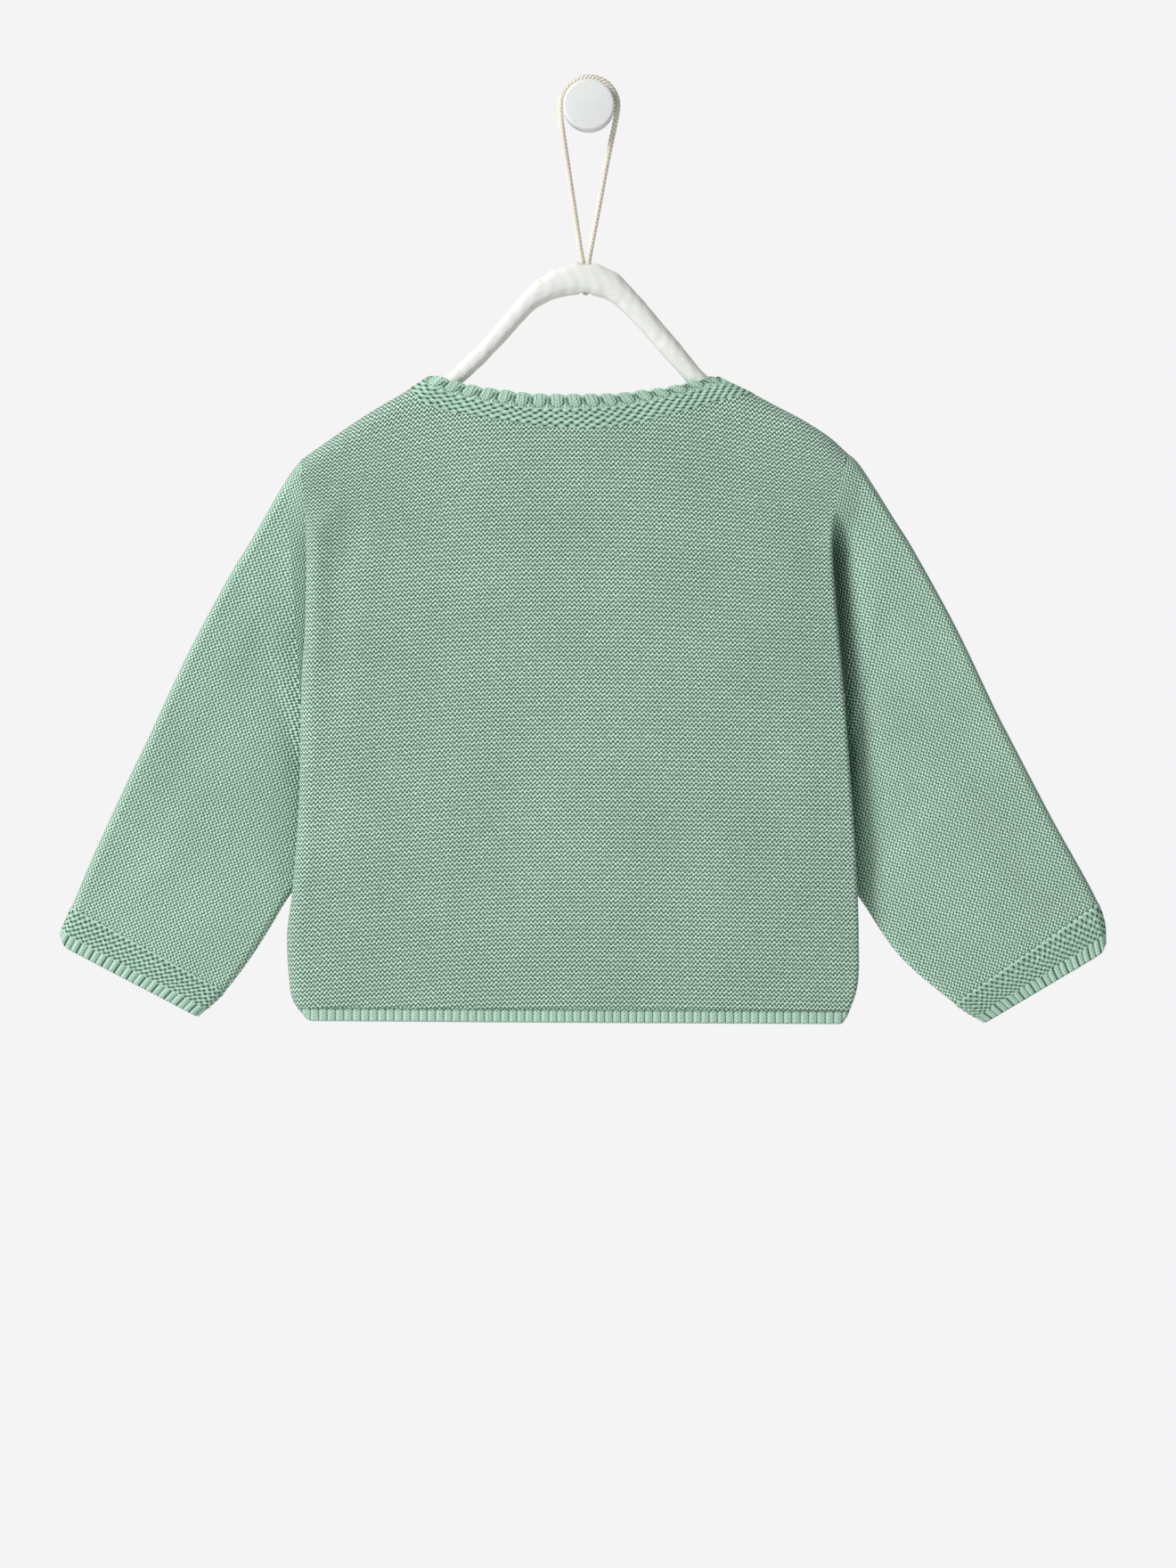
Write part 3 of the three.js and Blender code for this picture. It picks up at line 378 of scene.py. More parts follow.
def add_node(tree, kind, settings=None, **inputs):
    """Add a node. settings: its choices by name, or the name of its operation alone. An input named in0
    is the first socket, and a node given as a value is linked."""
    made = tree.nodes.new("ShaderNode" + kind)
    if isinstance(settings, str):
        settings = {"operation": settings}
    for key, value in (settings or {}).items():
        setattr(made, key, value)
    for key, value in inputs.items():
        number = key[2:] if key.startswith("in") else ""
        socket = made.inputs[int(number)] if number.isdigit() else made.inputs[key.replace("_", " ")]
        if isinstance(value, bpy.types.Node):
            tree.links.new(value.outputs[0], socket)
        elif isinstance(value, bpy.types.NodeSocket):
            tree.links.new(value, socket)
        else:
            socket.default_value = value
    return made


def new_material(name):
    material = bpy.data.materials.new(name)
    material.use_nodes = True
    material.node_tree.nodes.clear()
    return material, material.node_tree


# %% [markdown]
# ## Purl-side cotton knit
# The yarn is a soft, matt, two-ply cotton of about 1 mm. On the purl side each course is a wavy ridge of
# bumps with small dark gaps between. A course is 2.15 mm tall and a stitch 2.05 mm wide. At this size a
# bump map is enough, so the material draws the wave from the stitch counts in the UV map: a cosine
# across shifts a cosine up. Where the yarn climbs from one row to the next, its legs fill the groove, so
# only staggered holes stay dark. The same height also sets the colour: painted shade in the gaps and holes,
# and a painted highlight on the tops of the yarns. Three knits share it: the body's, the sleeves', which is
# stretched flatter, and the open one of neckband and cuffs. Cotton fibre scatters light, which gives the eye
# a soft matt cloth: high roughness and a little sheen. Real fibres are 0.02 mm thick, too fine for the
# picture, so they are drawn 0.4 mm wide. Wide, faint clouds of 40 mm stand for uneven dyeing. A mesh
# attribute of painted shade darkens what lies deep, such as a groove in the relief or the crease where two
# layers of cloth meet.

# %% Purl knit material
YARN_GAP_SHADE, YARN_SHADE, YARN, YARN_LIGHT = 0x2A4A38, 0x6E907F, 0xAACCB8, 0xD6F4E1


def yarn_finish(tree, height, relief_mm):
    """Colour a knit by its height: painted shade between the yarns and a painted highlight on top, matt and
    faintly fuzzy.
    """
    where = add_node(tree, "TexCoord")
    fibre = add_node(tree, "TexNoise", Vector=where.outputs["Object"], Scale=per_mm(2.3), Detail=3.0)
    # Painted shade: the mesh attribute darkens the colour where the cloth lies deep.
    hollow = add_node(tree, "Attribute", {"attribute_name": "hollow"})
    packed = add_node(tree, "Math", "MULTIPLY_ADD", in0=height, in1=0.78, in2=0.135)
    shaded = add_node(tree, "Math", "MULTIPLY_ADD", in0=hollow.outputs["Fac"], in1=-0.5, in2=packed)
    grain = add_node(tree, "Math", "MULTIPLY_ADD", in0=fibre, in1=0.26, in2=shaded)
    tone = add_node(tree, "ValToRGB", Fac=grain)
    # The ramp paints shade into the gaps and holes and a highlight onto the tops of the yarns.
    ramp = tone.color_ramp
    ramp.elements[0].position, ramp.elements[0].color = 0.2, linear(YARN_GAP_SHADE)
    ramp.elements[1].position, ramp.elements[1].color = 0.9, linear(YARN_LIGHT)
    ramp.elements.new(0.42).color = linear(YARN_SHADE)
    ramp.elements.new(0.63).color = linear(YARN)
    cloud = add_node(tree, "TexNoise", Vector=where.outputs["Object"], Scale=per_mm(0.024), Detail=2.0)
    shade = add_node(tree, "MapRange", Value=cloud, From_Min=0.3, From_Max=0.7, To_Min=0.95, To_Max=1.05)
    colour = add_node(tree, "VectorMath", "SCALE", in0=tone, Scale=shade)
    relief = add_node(tree, "Bump", Strength=1.0, Distance=relief_mm / 1000, Height=grain)
    shader = add_node(tree, "BsdfPrincipled", Base_Color=colour, Normal=relief, Roughness=0.92,
                      Sheen_Weight=0.12, Sheen_Roughness=0.5, Specular_IOR_Level=0.2)
    add_node(tree, "OutputMaterial", Surface=shader)


def purl_material(name, knit, relief_mm):
    """knit: how far a row sways, its lowest tone, how much a row rises, how dark a hole is, how much the legs
    stand back, and how small the holes are."""
    sway, low, rises, hole, leg, small = knit
    material, tree = new_material(name)
    turn = 2 * math.pi
    stitches = add_node(tree, "UVMap", {"uv_map": "stitches"})
    wobble = add_node(tree, "TexNoise", {"noise_dimensions": "2D"}, Vector=stitches, Scale=0.5, Detail=2.0)
    shift = add_node(tree, "VectorMath", "MULTIPLY_ADD",
                     in0=wobble.outputs["Color"], in1=(0.55, 0.4, 0), in2=stitches)
    place = add_node(tree, "SeparateXYZ", Vector=shift)
    across = add_node(tree, "Math", "MULTIPLY", in0=place.outputs[0], in1=turn)
    up = add_node(tree, "Math", "MULTIPLY", in0=place.outputs[1], in1=turn)
    swing = add_node(tree, "Math", "COSINE", in0=across)
    waved = add_node(tree, "Math", "MULTIPLY_ADD", in0=swing, in1=-turn * sway, in2=up)
    crest = add_node(tree, "Math", "COSINE", in0=waved)
    ridge = add_node(tree, "Math", "MULTIPLY_ADD", in0=crest, in1=0.5, in2=0.5)
    heads = add_node(tree, "Math", "MULTIPLY", in0=swing, in1=swing)
    bright = add_node(tree, "Math", "MULTIPLY_ADD", in0=heads, in1=leg, in2=rises - leg)
    lit = add_node(tree, "Math", "MULTIPLY", in0=ridge, in1=bright)
    rise = add_node(tree, "Math", "SINE", in0=up)
    chequer = add_node(tree, "Math", "MULTIPLY", in0=swing, in1=rise)
    near = add_node(tree, "Math", "MULTIPLY_ADD", in0=chequer, in1=-0.5, in2=0.5)
    holes = add_node(tree, "Math", "POWER", in0=near, in1=small)
    dug = add_node(tree, "Math", "MULTIPLY_ADD", in0=holes, in1=-hole, in2=lit)
    height = add_node(tree, "Math", "ADD", in0=dug, in1=low)
    yarn_finish(tree, height, relief_mm)
    return material


FINE_KNIT = (0.2, 0.42, 0.62, 0.6, 0.24, 1.9)
SLEEVE_KNIT = (0.2, 0.41, 0.46, 0.52, 0.2, 1.9)
OPEN_KNIT = (0.12, 0.33, 0.24, 0.85, 0.05, 5.0)
fine_purl = purl_material("fine purl knit cotton", FINE_KNIT, 1.0)
sleeve_purl = purl_material("fine purl knit cotton of the sleeves", SLEEVE_KNIT, 0.6)
open_purl = purl_material("open purl knit cotton", OPEN_KNIT, 0.3)
print("materials:", fine_purl.name, "|", sleeve_purl.name, "|", open_purl.name)

# %% [markdown]
# ## Ribbed cotton
# Hem, cuffs and neck end in a tight edge whose ribs are real relief in the mesh. Close up, each rib is a
# chain of slanted stitches, 1.4 mm tall. The map counts ribs across and stitches down, and a slanted
# cosine on each side of a rib's middle draws the chain. The yarn and its matt look are the same.

# %% Rib material
RIB_STITCH = 1.4


def rib_material(name):
    material, tree = new_material(name)
    turn = 2 * math.pi
    stitches = add_node(tree, "UVMap", {"uv_map": "stitches"})
    place = add_node(tree, "SeparateXYZ", Vector=stitches)
    share = add_node(tree, "Math", "FRACT", in0=place.outputs[0])
    middle = add_node(tree, "Math", "SUBTRACT", in0=share, in1=0.5)
    slant = add_node(tree, "Math", "ABSOLUTE", in0=middle)
    lean = add_node(tree, "Math", "MULTIPLY_ADD", in0=slant, in1=2.2, in2=place.outputs[1])
    up = add_node(tree, "Math", "MULTIPLY", in0=lean, in1=turn)
    chain = add_node(tree, "Math", "COSINE", in0=up)
    soft = add_node(tree, "Math", "MULTIPLY_ADD", in0=chain, in1=0.14, in2=0.515)
    # Painted shade: dark lines in the grooves at a rib's edges and a fainter one at its middle, which also
    # dip the bump.
    edge = add_node(tree, "MapRange", Value=slant, From_Min=0.4, From_Max=0.5, To_Min=0.0, To_Max=-0.4)
    centre = add_node(tree, "MapRange", Value=slant, From_Min=0.0, From_Max=0.08, To_Min=-0.16, To_Max=0.0)
    lines = add_node(tree, "Math", "ADD", in0=edge, in1=centre)
    height = add_node(tree, "Math", "ADD", in0=soft, in1=lines)
    yarn_finish(tree, height, 0.4)
    return material


rib_knit = rib_material("ribbed knit cotton")
print("material:", rib_knit.name)

# %% [markdown]
# ## Back and fronts
# Each panel is knitted from the hem up. Its courses run level in the middle and sag a little towards the
# sides, most of all below the shoulders, as the photo shows. The grid has a point every 1.5 mm, closer
# together round the folds.

# %% Grid of a panel
STITCH, COURSE = 2.05, 2.15
GRID = 1.45
PANEL_TALL = 260
FOLD_TURNS = np.linspace(0, math.pi / 2, 8)
SHOULDER_FOLD, SIDE_FOLD = 8.4, 4.6


def side_x(x, z):
    """A column follows the side edge when it is near it, and is upright at the middle."""
    on_left = x < CENTRE_X
    start = np.where(on_left, LEFT_X, RIGHT_X)
    seam = np.where(on_left, CENTRE_X - 14, CENTRE_X + 14)
    now = np.where(on_left, smooth_curve(z, *side_edge["left"]), smooth_curve(z, *side_edge["right"]))
    share = np.clip((x - seam) / (start - seam), 0, 1)
    return x + share * (now - start)


def hem_z(x):
    """The hem's height: its left end hangs a little higher."""
    return mix(HEM_LEFT, HEM_RIGHT, (x - LEFT_X) / (RIGHT_X - LEFT_X))


def softly_over(value, width):
    """The value where it is over 0, else 0, with a soft bend between."""
    return width * np.logaddexp(0, value / width)


def sag(x, z):
    """How far the courses hang below level, in mm."""
    off = x - CENTRE_X
    high = bell(z + 150, 38)
    left = 0.085 * softly_over(-off - 35, 14) + 0.17 * softly_over(-off - 58, 8) * high
    right = (0.02 + 0.05 * step_up(z, -300, -200)) * softly_over(off - 30, 14)
    right += 0.15 * softly_over(off - 62, 8) * high
    return left + right


def stitch_marks(across, up):
    """Stitch counts for the UV map."""
    return np.stack(np.broadcast_arrays(across, up), -1)


def panel(name, top_line, from_x, to_x, face):
    """One panel, from its upper outline down to the ribs, between two upright edges."""
    folded = (1 - np.cos(FOLD_TURNS)) * SIDE_FOLD
    columns = np.linspace(from_x, to_x, int(abs(to_x - from_x) / GRID))
    if from_x == LEFT_X:
        columns = np.r_[from_x + folded, columns[columns > from_x + SIDE_FOLD + 0.8]]
    if to_x == RIGHT_X:
        columns = np.r_[columns[columns < to_x - SIDE_FOLD - 0.8], (to_x - folded)[::-1]]
    top = np.interp(columns, top_line[:, 0], top_line[:, 1])
    drops = (1 - np.cos(FOLD_TURNS)) * SHOULDER_FOLD
    count = int(PANEL_TALL / GRID)
    low = hem_z(columns) + RIB_HEIGHT
    z = np.vstack([top - drop for drop in drops]
                  + [mix(top - SHOULDER_FOLD, low, share) for share in np.linspace(0, 1, count)[1:]])
    x = side_x(np.broadcast_to(columns, z.shape), z)
    skin, out, more = body_surface(x, z, face)
    counts = stitch_marks((x + more[..., 0]) / STITCH, (z + more[..., 1] + sag(x, z)) / COURSE)
    return knit_shell(name, skin, skin - out * CLOTH, [(0, counts, fine_purl)], rim=0.1)


# %% Back panel
band_low = even_places(back_band_edge, 200)
left_shoulder = shoulder["left"][shoulder["left"][:, 0] < -84.2][::-1]
right_shoulder = shoulder["right"][shoulder["right"][:, 0] > 78.7]
back_top = np.vstack([left_shoulder, band_low, right_shoulder])
back_cloth = panel("back_cloth", back_top, LEFT_X, RIGHT_X, BACK)

# %% [markdown]
# ## The fronts
# The photo doesn't show them, so they are plain: the neck is a quarter of an ellipse on each side, and
# each panel ends at a straight front band.

# %% Front panels
FRONT_NECK_Z, NECKBAND_WIDTH = -178.0, 17.0
BAND_WIDTH, BAND_LAP = 25.0, 22.0


def front_neck(corner, low_z, seam_x):
    """Points on a quarter of an ellipse, from the shoulder corner to the front band."""
    reach = corner[0] - CENTRE_X
    turns = np.linspace(0, math.acos((seam_x - CENTRE_X) / reach), 9)
    return [(CENTRE_X + reach * math.cos(t), mix(corner[1], low_z, math.sin(t))) for t in turns]


fronts = {}
for side, way, corner in (("left", -1, back_band_edge[0]), ("right", 1, back_band_edge[-1])):
    seam_x = CENTRE_X + way * (BAND_WIDTH - BAND_LAP / 2)
    low_points = front_neck(corner, FRONT_NECK_Z - NECKBAND_WIDTH, seam_x)
    low = even_places(low_points, 150)
    neck = front_neck(shoulder[side][0], FRONT_NECK_Z, seam_x)
    if side == "left":
        cloth = panel("left_front_cloth", np.vstack([left_shoulder, low]), LEFT_X, seam_x, FRONT)
    else:
        cloth = panel("right_front_cloth", np.vstack([low[::-1], right_shoulder]), seam_x, RIGHT_X, FRONT)
    fronts[side] = {"way": way, "seam_x": seam_x, "low": low_points, "neck": neck, "cloth": cloth}

# %% [markdown]
# ## Relief of the larger stitches
# The neckband and the cuffs are knitted with larger, more open stitches, 2.9 mm tall. They are big enough
# to see their relief at the edges, so here the wave is real: the same two cosines move the points.

# %% Open purl relief
OPEN_COURSE = 2.87


def purl_relief(across, up):
    """Height of an open purl knit, 0 to 1. across and up count stitches."""
    sway, low, rises, hole, leg, small = OPEN_KNIT
    swing = wave(across)
    ridge = 0.5 + 0.5 * wave(up - sway * swing)
    near_hole = 0.5 - 0.5 * swing * np.sin(2 * math.pi * up)
    return low + ridge * (rises - leg + leg * swing**2) - hole * near_hole**small


# %% [markdown]
# ## The neckband
# Along the neck runs a row of rounded scallops, each 7.9 mm wide and 6 mm tall, with a groove round it
# and a thin ridge between neighbours. Below it come four courses of open purl. The distance to the
# outline of a tongue with a round lower end tells where the groove goes.

# %% Neckband
SCALLOP_TALL, SCALLOP_PITCH, SCALLOP_ROUND = 6.2, 7.9, 3.05
NECKBAND_MEAN = 15.5
NECK_STITCH = 4.1
FINE = 0.46


def scallop_relief(across, down):
    """across counts scallops, down is in mm from the neck edge. Gives the relief and the painted shade in the
    groove.
    """
    x = (across - np.floor(across) - 0.5) * SCALLOP_PITCH
    below = np.maximum(down - (SCALLOP_TALL - SCALLOP_ROUND), 0)
    outside = np.hypot(x, below) - SCALLOP_ROUND
    pad = 0.3 * step_up(-outside, -0.2, 2.4)
    groove = bell(outside - 0.1, 0.36) * step_up(down, 0, 2.5)
    groove *= 1 - 0.5 * step_up(below, 0.6, 2.4)
    ridge = 0.25 * bell(np.abs(x) - SCALLOP_PITCH / 2, 0.6)
    loops = 0.16 * wave(x / 2.1 + 0.3 * down) * wave(down / 2.3)
    # The second value is painted shade in the groove round each tongue.
    return (pad - 0.6 * groove + ridge + loops) * step_up(down, -0.5, 1.2), 0.9 * groove - 0.5 * loops


def neckband(name, neck_edge, low_edge, face, scallops):
    """A band between two lines of the body, with this many scallops along the neck."""
    cols = int(lengths_along(even_places(neck_edge, 50))[-1] * 1.1 / FINE)
    neck, low = even_places(neck_edge, cols), even_places(low_edge, cols)
    share = np.linspace(0, 1, int(NECKBAND_WIDTH / FINE))[:, None]
    x = mix(neck[:, 0], low[:, 0], share)
    z = mix(neck[:, 1], low[:, 1], share)
    tall = np.linalg.norm(low - neck, axis=1)
    down = share * np.maximum(tall, 11.0)
    across = np.broadcast_to(np.linspace(0, scallops, cols), x.shape)
    round_top = np.abs(np.sin(across * math.pi)) ** 0.6
    z = z - 1.2 * (1 - round_top) * (1 - step_up(down, 0, 2.5))
    skin, out, _ = body_surface(x, z, face)
    stitch = across * SCALLOP_PITCH / NECK_STITCH
    course = (down - SCALLOP_TALL) / OPEN_COURSE
    stitches_below = step_up(down, SCALLOP_TALL - 0.4, SCALLOP_TALL + 0.5)
    at_seam = 1 - step_up(share, 0.94, 1.0)
    # groove here is the painted shade of the grooves round the tongues.
    tongues, groove = scallop_relief(across, down)
    relief = mix(tongues, purl_relief(stitch, -course) * 0.7 - 0.2, stitches_below)
    outer = skin + out * ((relief + 0.25) * at_seam)[..., None]
    split = int(np.searchsorted(share[:, 0], SCALLOP_TALL / NECKBAND_MEAN))
    zones = [(0, stitch_marks(across * 3, -down / 1.6), rib_knit),
             (split, stitch_marks(stitch, -course), open_purl)]
    return knit_shell(name, outer, skin - out * CLOTH, zones, hollow=groove * (1 - stitches_below))


band_back = neckband("neckband_back_knit", back_neck, back_band_edge, BACK, 17)
for side, parts in fronts.items():
    parts["band"] = neckband(f"neckband_{side}_knit", parts["neck"], parts["low"], FRONT, 10)

# %% [markdown]
# ## Ribbed hem
# The last 5.5 mm of back and fronts are ribs, 3.8 mm from one to the next. A raised cosine to a low power
# makes each rib wide and the groove between narrow.

# %% Ribbed hem
RIB_PITCH = 3.85


def rib_relief(across, height):
    """Relief of ribs of this height. across counts ribs."""
    return height * ((0.5 - 0.5 * wave(across)) ** 0.45 - 0.55)


def hem(name, from_x, to_x, face):
    """The ribbed lower edge of one panel."""
    cols = int(abs(to_x - from_x) / FINE)
    columns = np.linspace(from_x, to_x, cols)
    share = np.linspace(0, 1, 13)[:, None]
    z = hem_z(columns) + RIB_HEIGHT * (1 - share)
    x = side_x(np.broadcast_to(columns, z.shape), z)
    skin, out, _ = body_surface(x, z, face)
    ribs = x / RIB_PITCH + 0.25 * np.sin(x / 37)
    relief = rib_relief(ribs, 0.5) * step_up(share, -0.05, 0.25) + 0.25
    marks = stitch_marks(ribs, -share * RIB_HEIGHT / RIB_STITCH)
    # Painted shade: a dark line where the ribs meet the cloth above, and a faint one in each rib's groove.
    join = 0.5 * bell(share * RIB_HEIGHT, 0.5) + 0.05 * (0.5 + 0.5 * wave(ribs)) ** 6
    outer, inner = skin + out * relief[..., None], skin - out * (CLOTH - 0.5)
    return knit_shell(name, outer, inner, [(0, marks, rib_knit)], hollow=join)


back_hem = hem("back_hem_ribs", LEFT_X, RIGHT_X, BACK)
fronts["left"]["hem"] = hem("left_front_hem_ribs", LEFT_X, fronts["left"]["seam_x"], FRONT)
fronts["right"]["hem"] = hem("right_front_hem_ribs", fronts["right"]["seam_x"], RIGHT_X, FRONT)

# %% [markdown]
# ## Sleeves
# A sleeve hangs as a flat tube with round edges. Each section is given by its outer and inner edge, how
# far it is from the wall and how deep it is. Below the underarm its inner edge slips behind the body's
# side. Its courses run along the sleeve, side by side with the outer edge, 1.95 mm apart. Beside the body
# the cloth is pressed thin and dips forward, which makes the long crease of the photo. Its shade comes in
# part from that shape and in part from shade painted into the colour along the crease.

# %% Sections of the sleeves
# outer x, outer z, inner x, inner z
sleeve_edges = {
    "left": [(-135.7, -167, -135.7, -273.8), (-143.2, -177.2, -135.9, -284.5),
             (-159.6, -205.4, -134.8, -305.5), (-170.1, -222.6, -133.1, -320),
             (-189.4, -258.7, -129.5, -342.7), (-207.5, -297.4, -135.7, -364.1),
             (-216.7, -316.3, -143.2, -375.5), (-233.3, -352.4, -157.3, -398.6),
             (-244.2, -378, -171.8, -418), (-251.6, -394.4, -184.4, -429.6)],
    "right": [(121.4, -163.4, 120.1, -273.8), (128.5, -170.5, 120.9, -284.5), (144.1, -195, 120.9, -305.5),
              (154, -210.9, 118.9, -320), (173.5, -246.5, 115.9, -343.6), (191.6, -284.3, 123.1, -365.4),
              (200.5, -301.6, 130.6, -378), (218.9, -336.8, 147.4, -401.9), (240.4, -376.3, 172.6, -423.6),
              (245.4, -397.6, 186.5, -432.6)],
}
# outer y, inner y, half depth outside, half depth inside
sleeve_depths = [(-13, -13, 7, 2.6), (-13, -10.9, 5.6, 2.6), (-12.8, -8.3, 4.6, 2.4), (-12.5, -5.6, 4.2, 2.4),
                 (-12, -4.8, 3.9, 2.4), (-11.5, -5, 3.9, 2.5), (-11, -6.6, 3.9, 2.8), (-10.5, -8, 3.8, 3.4),
                 (-10, -9, 3.8, 3.6), (-10, -9.2, 3.7, 3.5)]
sleeve_rows = {side: np.hstack([edges, sleeve_depths]) for side, edges in sleeve_edges.items()}
LAST_SECTION = 8
SLEEVE_COURSE = 1.95
sleeve_way = {"left": math.radians(180 + 64), "right": math.radians(-59)}
# thinner by this share, forward in mm, width of the step in mm, and how far down it begins and is whole
CREASE = {"left": (0.35, 1.8, 3.0, 206, 262), "right": (0.75, 4.2, 0.6, 190, 214)}


def crease_share(side, z):
    """0 to 1: how much of the crease there is at a height. It fades out above the cuff."""
    return step_up(-z, *CREASE[side][3:]) * (1 - step_up(-z, 300, 400))


def past_underarm(z):
    """0 to 1 from above the underarm to below it, where the crease grows narrow."""
    return step_up(-z, 230, 330)


def sleeve_section(side, share, flat_steps):
    """A flat ring from the inner edge along the front to the outer edge and back along the back side.
    Gives points, outward directions, each point's distance from the outer edge across the courses, and
    the thickness of the wall, which is less where the tube is pressed thin."""
    table = sleeve_rows[side]
    read = [smooth_curve(np.array([share]), np.arange(10), column)[0] for column in table.T]
    ox, oz, ix, iz, oy, iy, oh, ih = read
    long = math.hypot(ix - ox, iz - oz)
    ax, az = (ix - ox) / long, (iz - oz) / long
    at_body = max(1 - share, 0)
    outer_round = oh * mix(1, 1.22, at_body)
    shares = 1 - np.cos(FOLD_TURNS)
    between = np.linspace(outer_round, long - ih, flat_steps + 2)[1:-1]
    s = np.r_[shares * outer_round, between, (long - shares * ih)[::-1]]
    outer_turn, inner_turn = turned(s, outer_round), turned(long - s, ih)
    x, z = ox + ax * s, oz + az * s
    half = mix(oh, ih, s / long)
    join = np.minimum(np.interp(np.maximum(z, CLOSING_Z), *edge_stand[side]), smooth_curve(z, *half_depth))
    half = mix(half, join, at_body)
    lean = np.cos(inner_turn) - np.cos(outer_turn)
    stand = (half + swell(folds["sleeves"], x, z)) * np.minimum(np.sin(outer_turn), np.sin(inner_turn))
    first = table[0]
    start_x, start_z = mix(first[0], first[2], s / long), mix(first[1], first[3], s / long)
    bow = (smooth_curve(start_z, *side_edge[side]) - start_x) * at_body
    across = np.array([math.sin(sleeve_way[side]), -math.cos(sleeve_way[side])])
    across *= np.sign(across @ (ax, az))
    rim = [smooth_curve(np.array([max(share, 1)]), np.arange(10), table[:, k])[0] for k in (0, 1)]
    longer = outer_round * outer_turn - np.minimum(s, outer_round)
    count = across[0] * (x + bow - rim[0]) + across[1] * (z - rim[1]) + longer
    gap = np.abs(x + bow - smooth_curve(z, *side_edge[side]))
    thinner, forward, steep = CREASE[side][:3]
    low, past = crease_share(side, z), past_underarm(z)
    tuck = thinner * low * bell(gap, 11)
    dive = forward * low * (1 - 0.5 * past) * (1 - bell(gap, steep)) * bell(gap, mix(13, 7, past))
    wall = np.minimum(CLOTH, 0.85 * half * (1 - tuck))
    rings = []
    for face in (FRONT, BACK):
        out = np.stack([ax * lean, face * np.sqrt(np.maximum(1 - lean**2, 0)), az * lean], -1)
        skin = np.stack([x + bow, mix(oy, iy, s / long) + dive + face * stand * (1 - tuck), z], -1)
        rings.append((skin, out, face * -count))
    (skin_f, out_f, count_f), (skin_b, out_b, count_b) = rings
    return (np.vstack([skin_f[::-1], skin_b[1:]]), np.vstack([out_f[::-1], out_b[1:]]),
            np.r_[count_f[::-1], count_b[1:]], np.r_[wall[::-1], wall[1:]])


def along(side, skin):
    """How far along the sleeve's courses each point is."""
    way = sleeve_way[side]
    return skin[..., 0] * math.cos(way) + skin[..., 2] * math.sin(way)


# %% Sleeves
sleeves = {}
for side in ("left", "right"):
    shares = np.r_[0, 0.01, 0.02, np.linspace(0.04, LAST_SECTION, 166)]
    sections = [sleeve_section(side, share, 48) for share in shares]
    skin, out, count, wall = (np.stack([section[k] for section in sections]) for k in range(4))
    marks = stitch_marks(along(side, skin) / STITCH, count / SLEEVE_COURSE)
    skin, inner = skin[:, :-1], (skin - out * wall[..., None])[:, :-1]
    z = skin[..., 2]
    # Painted shade along the crease beside the body, darkest at the body's edge and as strong as the crease
    # dips forward.
    gap = np.abs(skin[..., 0] - smooth_curve(z, *side_edge[side]))
    depth = CREASE[side][1] / 5.2 * crease_share(side, z) * bell(gap, mix(6, 3.5, past_underarm(z)))
    zones = [(0, marks, sleeve_purl)]
    sleeves[side] = knit_shell(f"{side}_sleeve_cloth", skin, inner, zones, tube=True, hollow=depth)

# %% [markdown]
# ## Cuffs
# A cuff goes on from the sleeve's last section: four courses of open purl, then a ribbed edge with 3.6 mm
# from rib to rib. The section is divided evenly, so that all stitches are the same size.

# %% Cuffs
CUFF_STITCH, CUFF_RIB = 3.05, 3.6
CUFF_TALL, CUFF_ROWS = 17.6, 40
CORNER_ROUND = {"left": 4.5, "right": 3.0}


def cuff(side):
    """A tube with open purl above and ribs below."""
    grids = []
    for share in np.linspace(LAST_SECTION, LAST_SECTION + 1, CUFF_ROWS):
        skin, out, _, _ = sleeve_section(side, share, 60)
        way = lengths_along(skin)
        if not grids:
            cols = int(way[-1] / FINE)
            wide = way[-1]
        at = np.linspace(0, way[-1], cols + 1)
        grids.append([np.column_stack([np.interp(at, way, v) for v in grid.T]) for grid in (skin, out)])
    skin, out = (np.stack([g[k] for g in grids]) for k in range(2))
    out = unit(out)
    down = np.linspace(0, CUFF_TALL, CUFF_ROWS)[:, None]
    across = np.broadcast_to(np.linspace(0, 1, cols + 1), skin.shape[:2])
    stitch = across * round(wide / CUFF_STITCH)
    ribs = across * round(wide / CUFF_RIB)
    course = down / OPEN_COURSE
    in_rib = step_up(down, CUFF_TALL - RIB_HEIGHT - 0.3, CUFF_TALL - RIB_HEIGHT + 0.4)
    open_part = (purl_relief(stitch, -course) - 0.3) * step_up(down, 0, 1.2)
    ribbed = rib_relief(ribs, 0.8)
    outer = skin + out * (mix(open_part, ribbed, in_rib) + 0.25)[..., None]
    way = np.array([math.cos(sleeve_way[side]), 0, math.sin(sleeve_way[side])])
    from_outer = np.abs(across - 0.5) * wide
    lift = CORNER_ROUND[side] * bell(from_outer, 5) * (down / CUFF_TALL) ** 3
    outer, skin = outer - way * lift[..., None], skin - way * lift[..., None]
    split = int(CUFF_ROWS * (1 - RIB_HEIGHT / CUFF_TALL))
    zones = [(0, stitch_marks(stitch, -course), open_purl),
             (split, stitch_marks(ribs, -down / RIB_STITCH), rib_knit)]
    # Painted shade in the grooves between the ribs, stronger in every other groove.
    shaded = in_rib * (0.35 + 0.3 * wave(ribs / 2)) * (0.5 + 0.5 * wave(ribs)) ** 5
    outer, inner = outer[:, :-1], (skin - out * CLOTH)[:, :-1]
    return knit_shell(f"{side}_cuff_knit", outer, inner, zones, tube=True, hollow=shaded[:, :-1])


cuffs = {side: cuff(side) for side in ("left", "right")}

# %% [markdown]
# ## Front bands
# Two upright bands of open purl close the front. The wearer's right one steps out over the left one.

# %% Front bands
SEAM = 0.3
BAND_GRID = 0.62


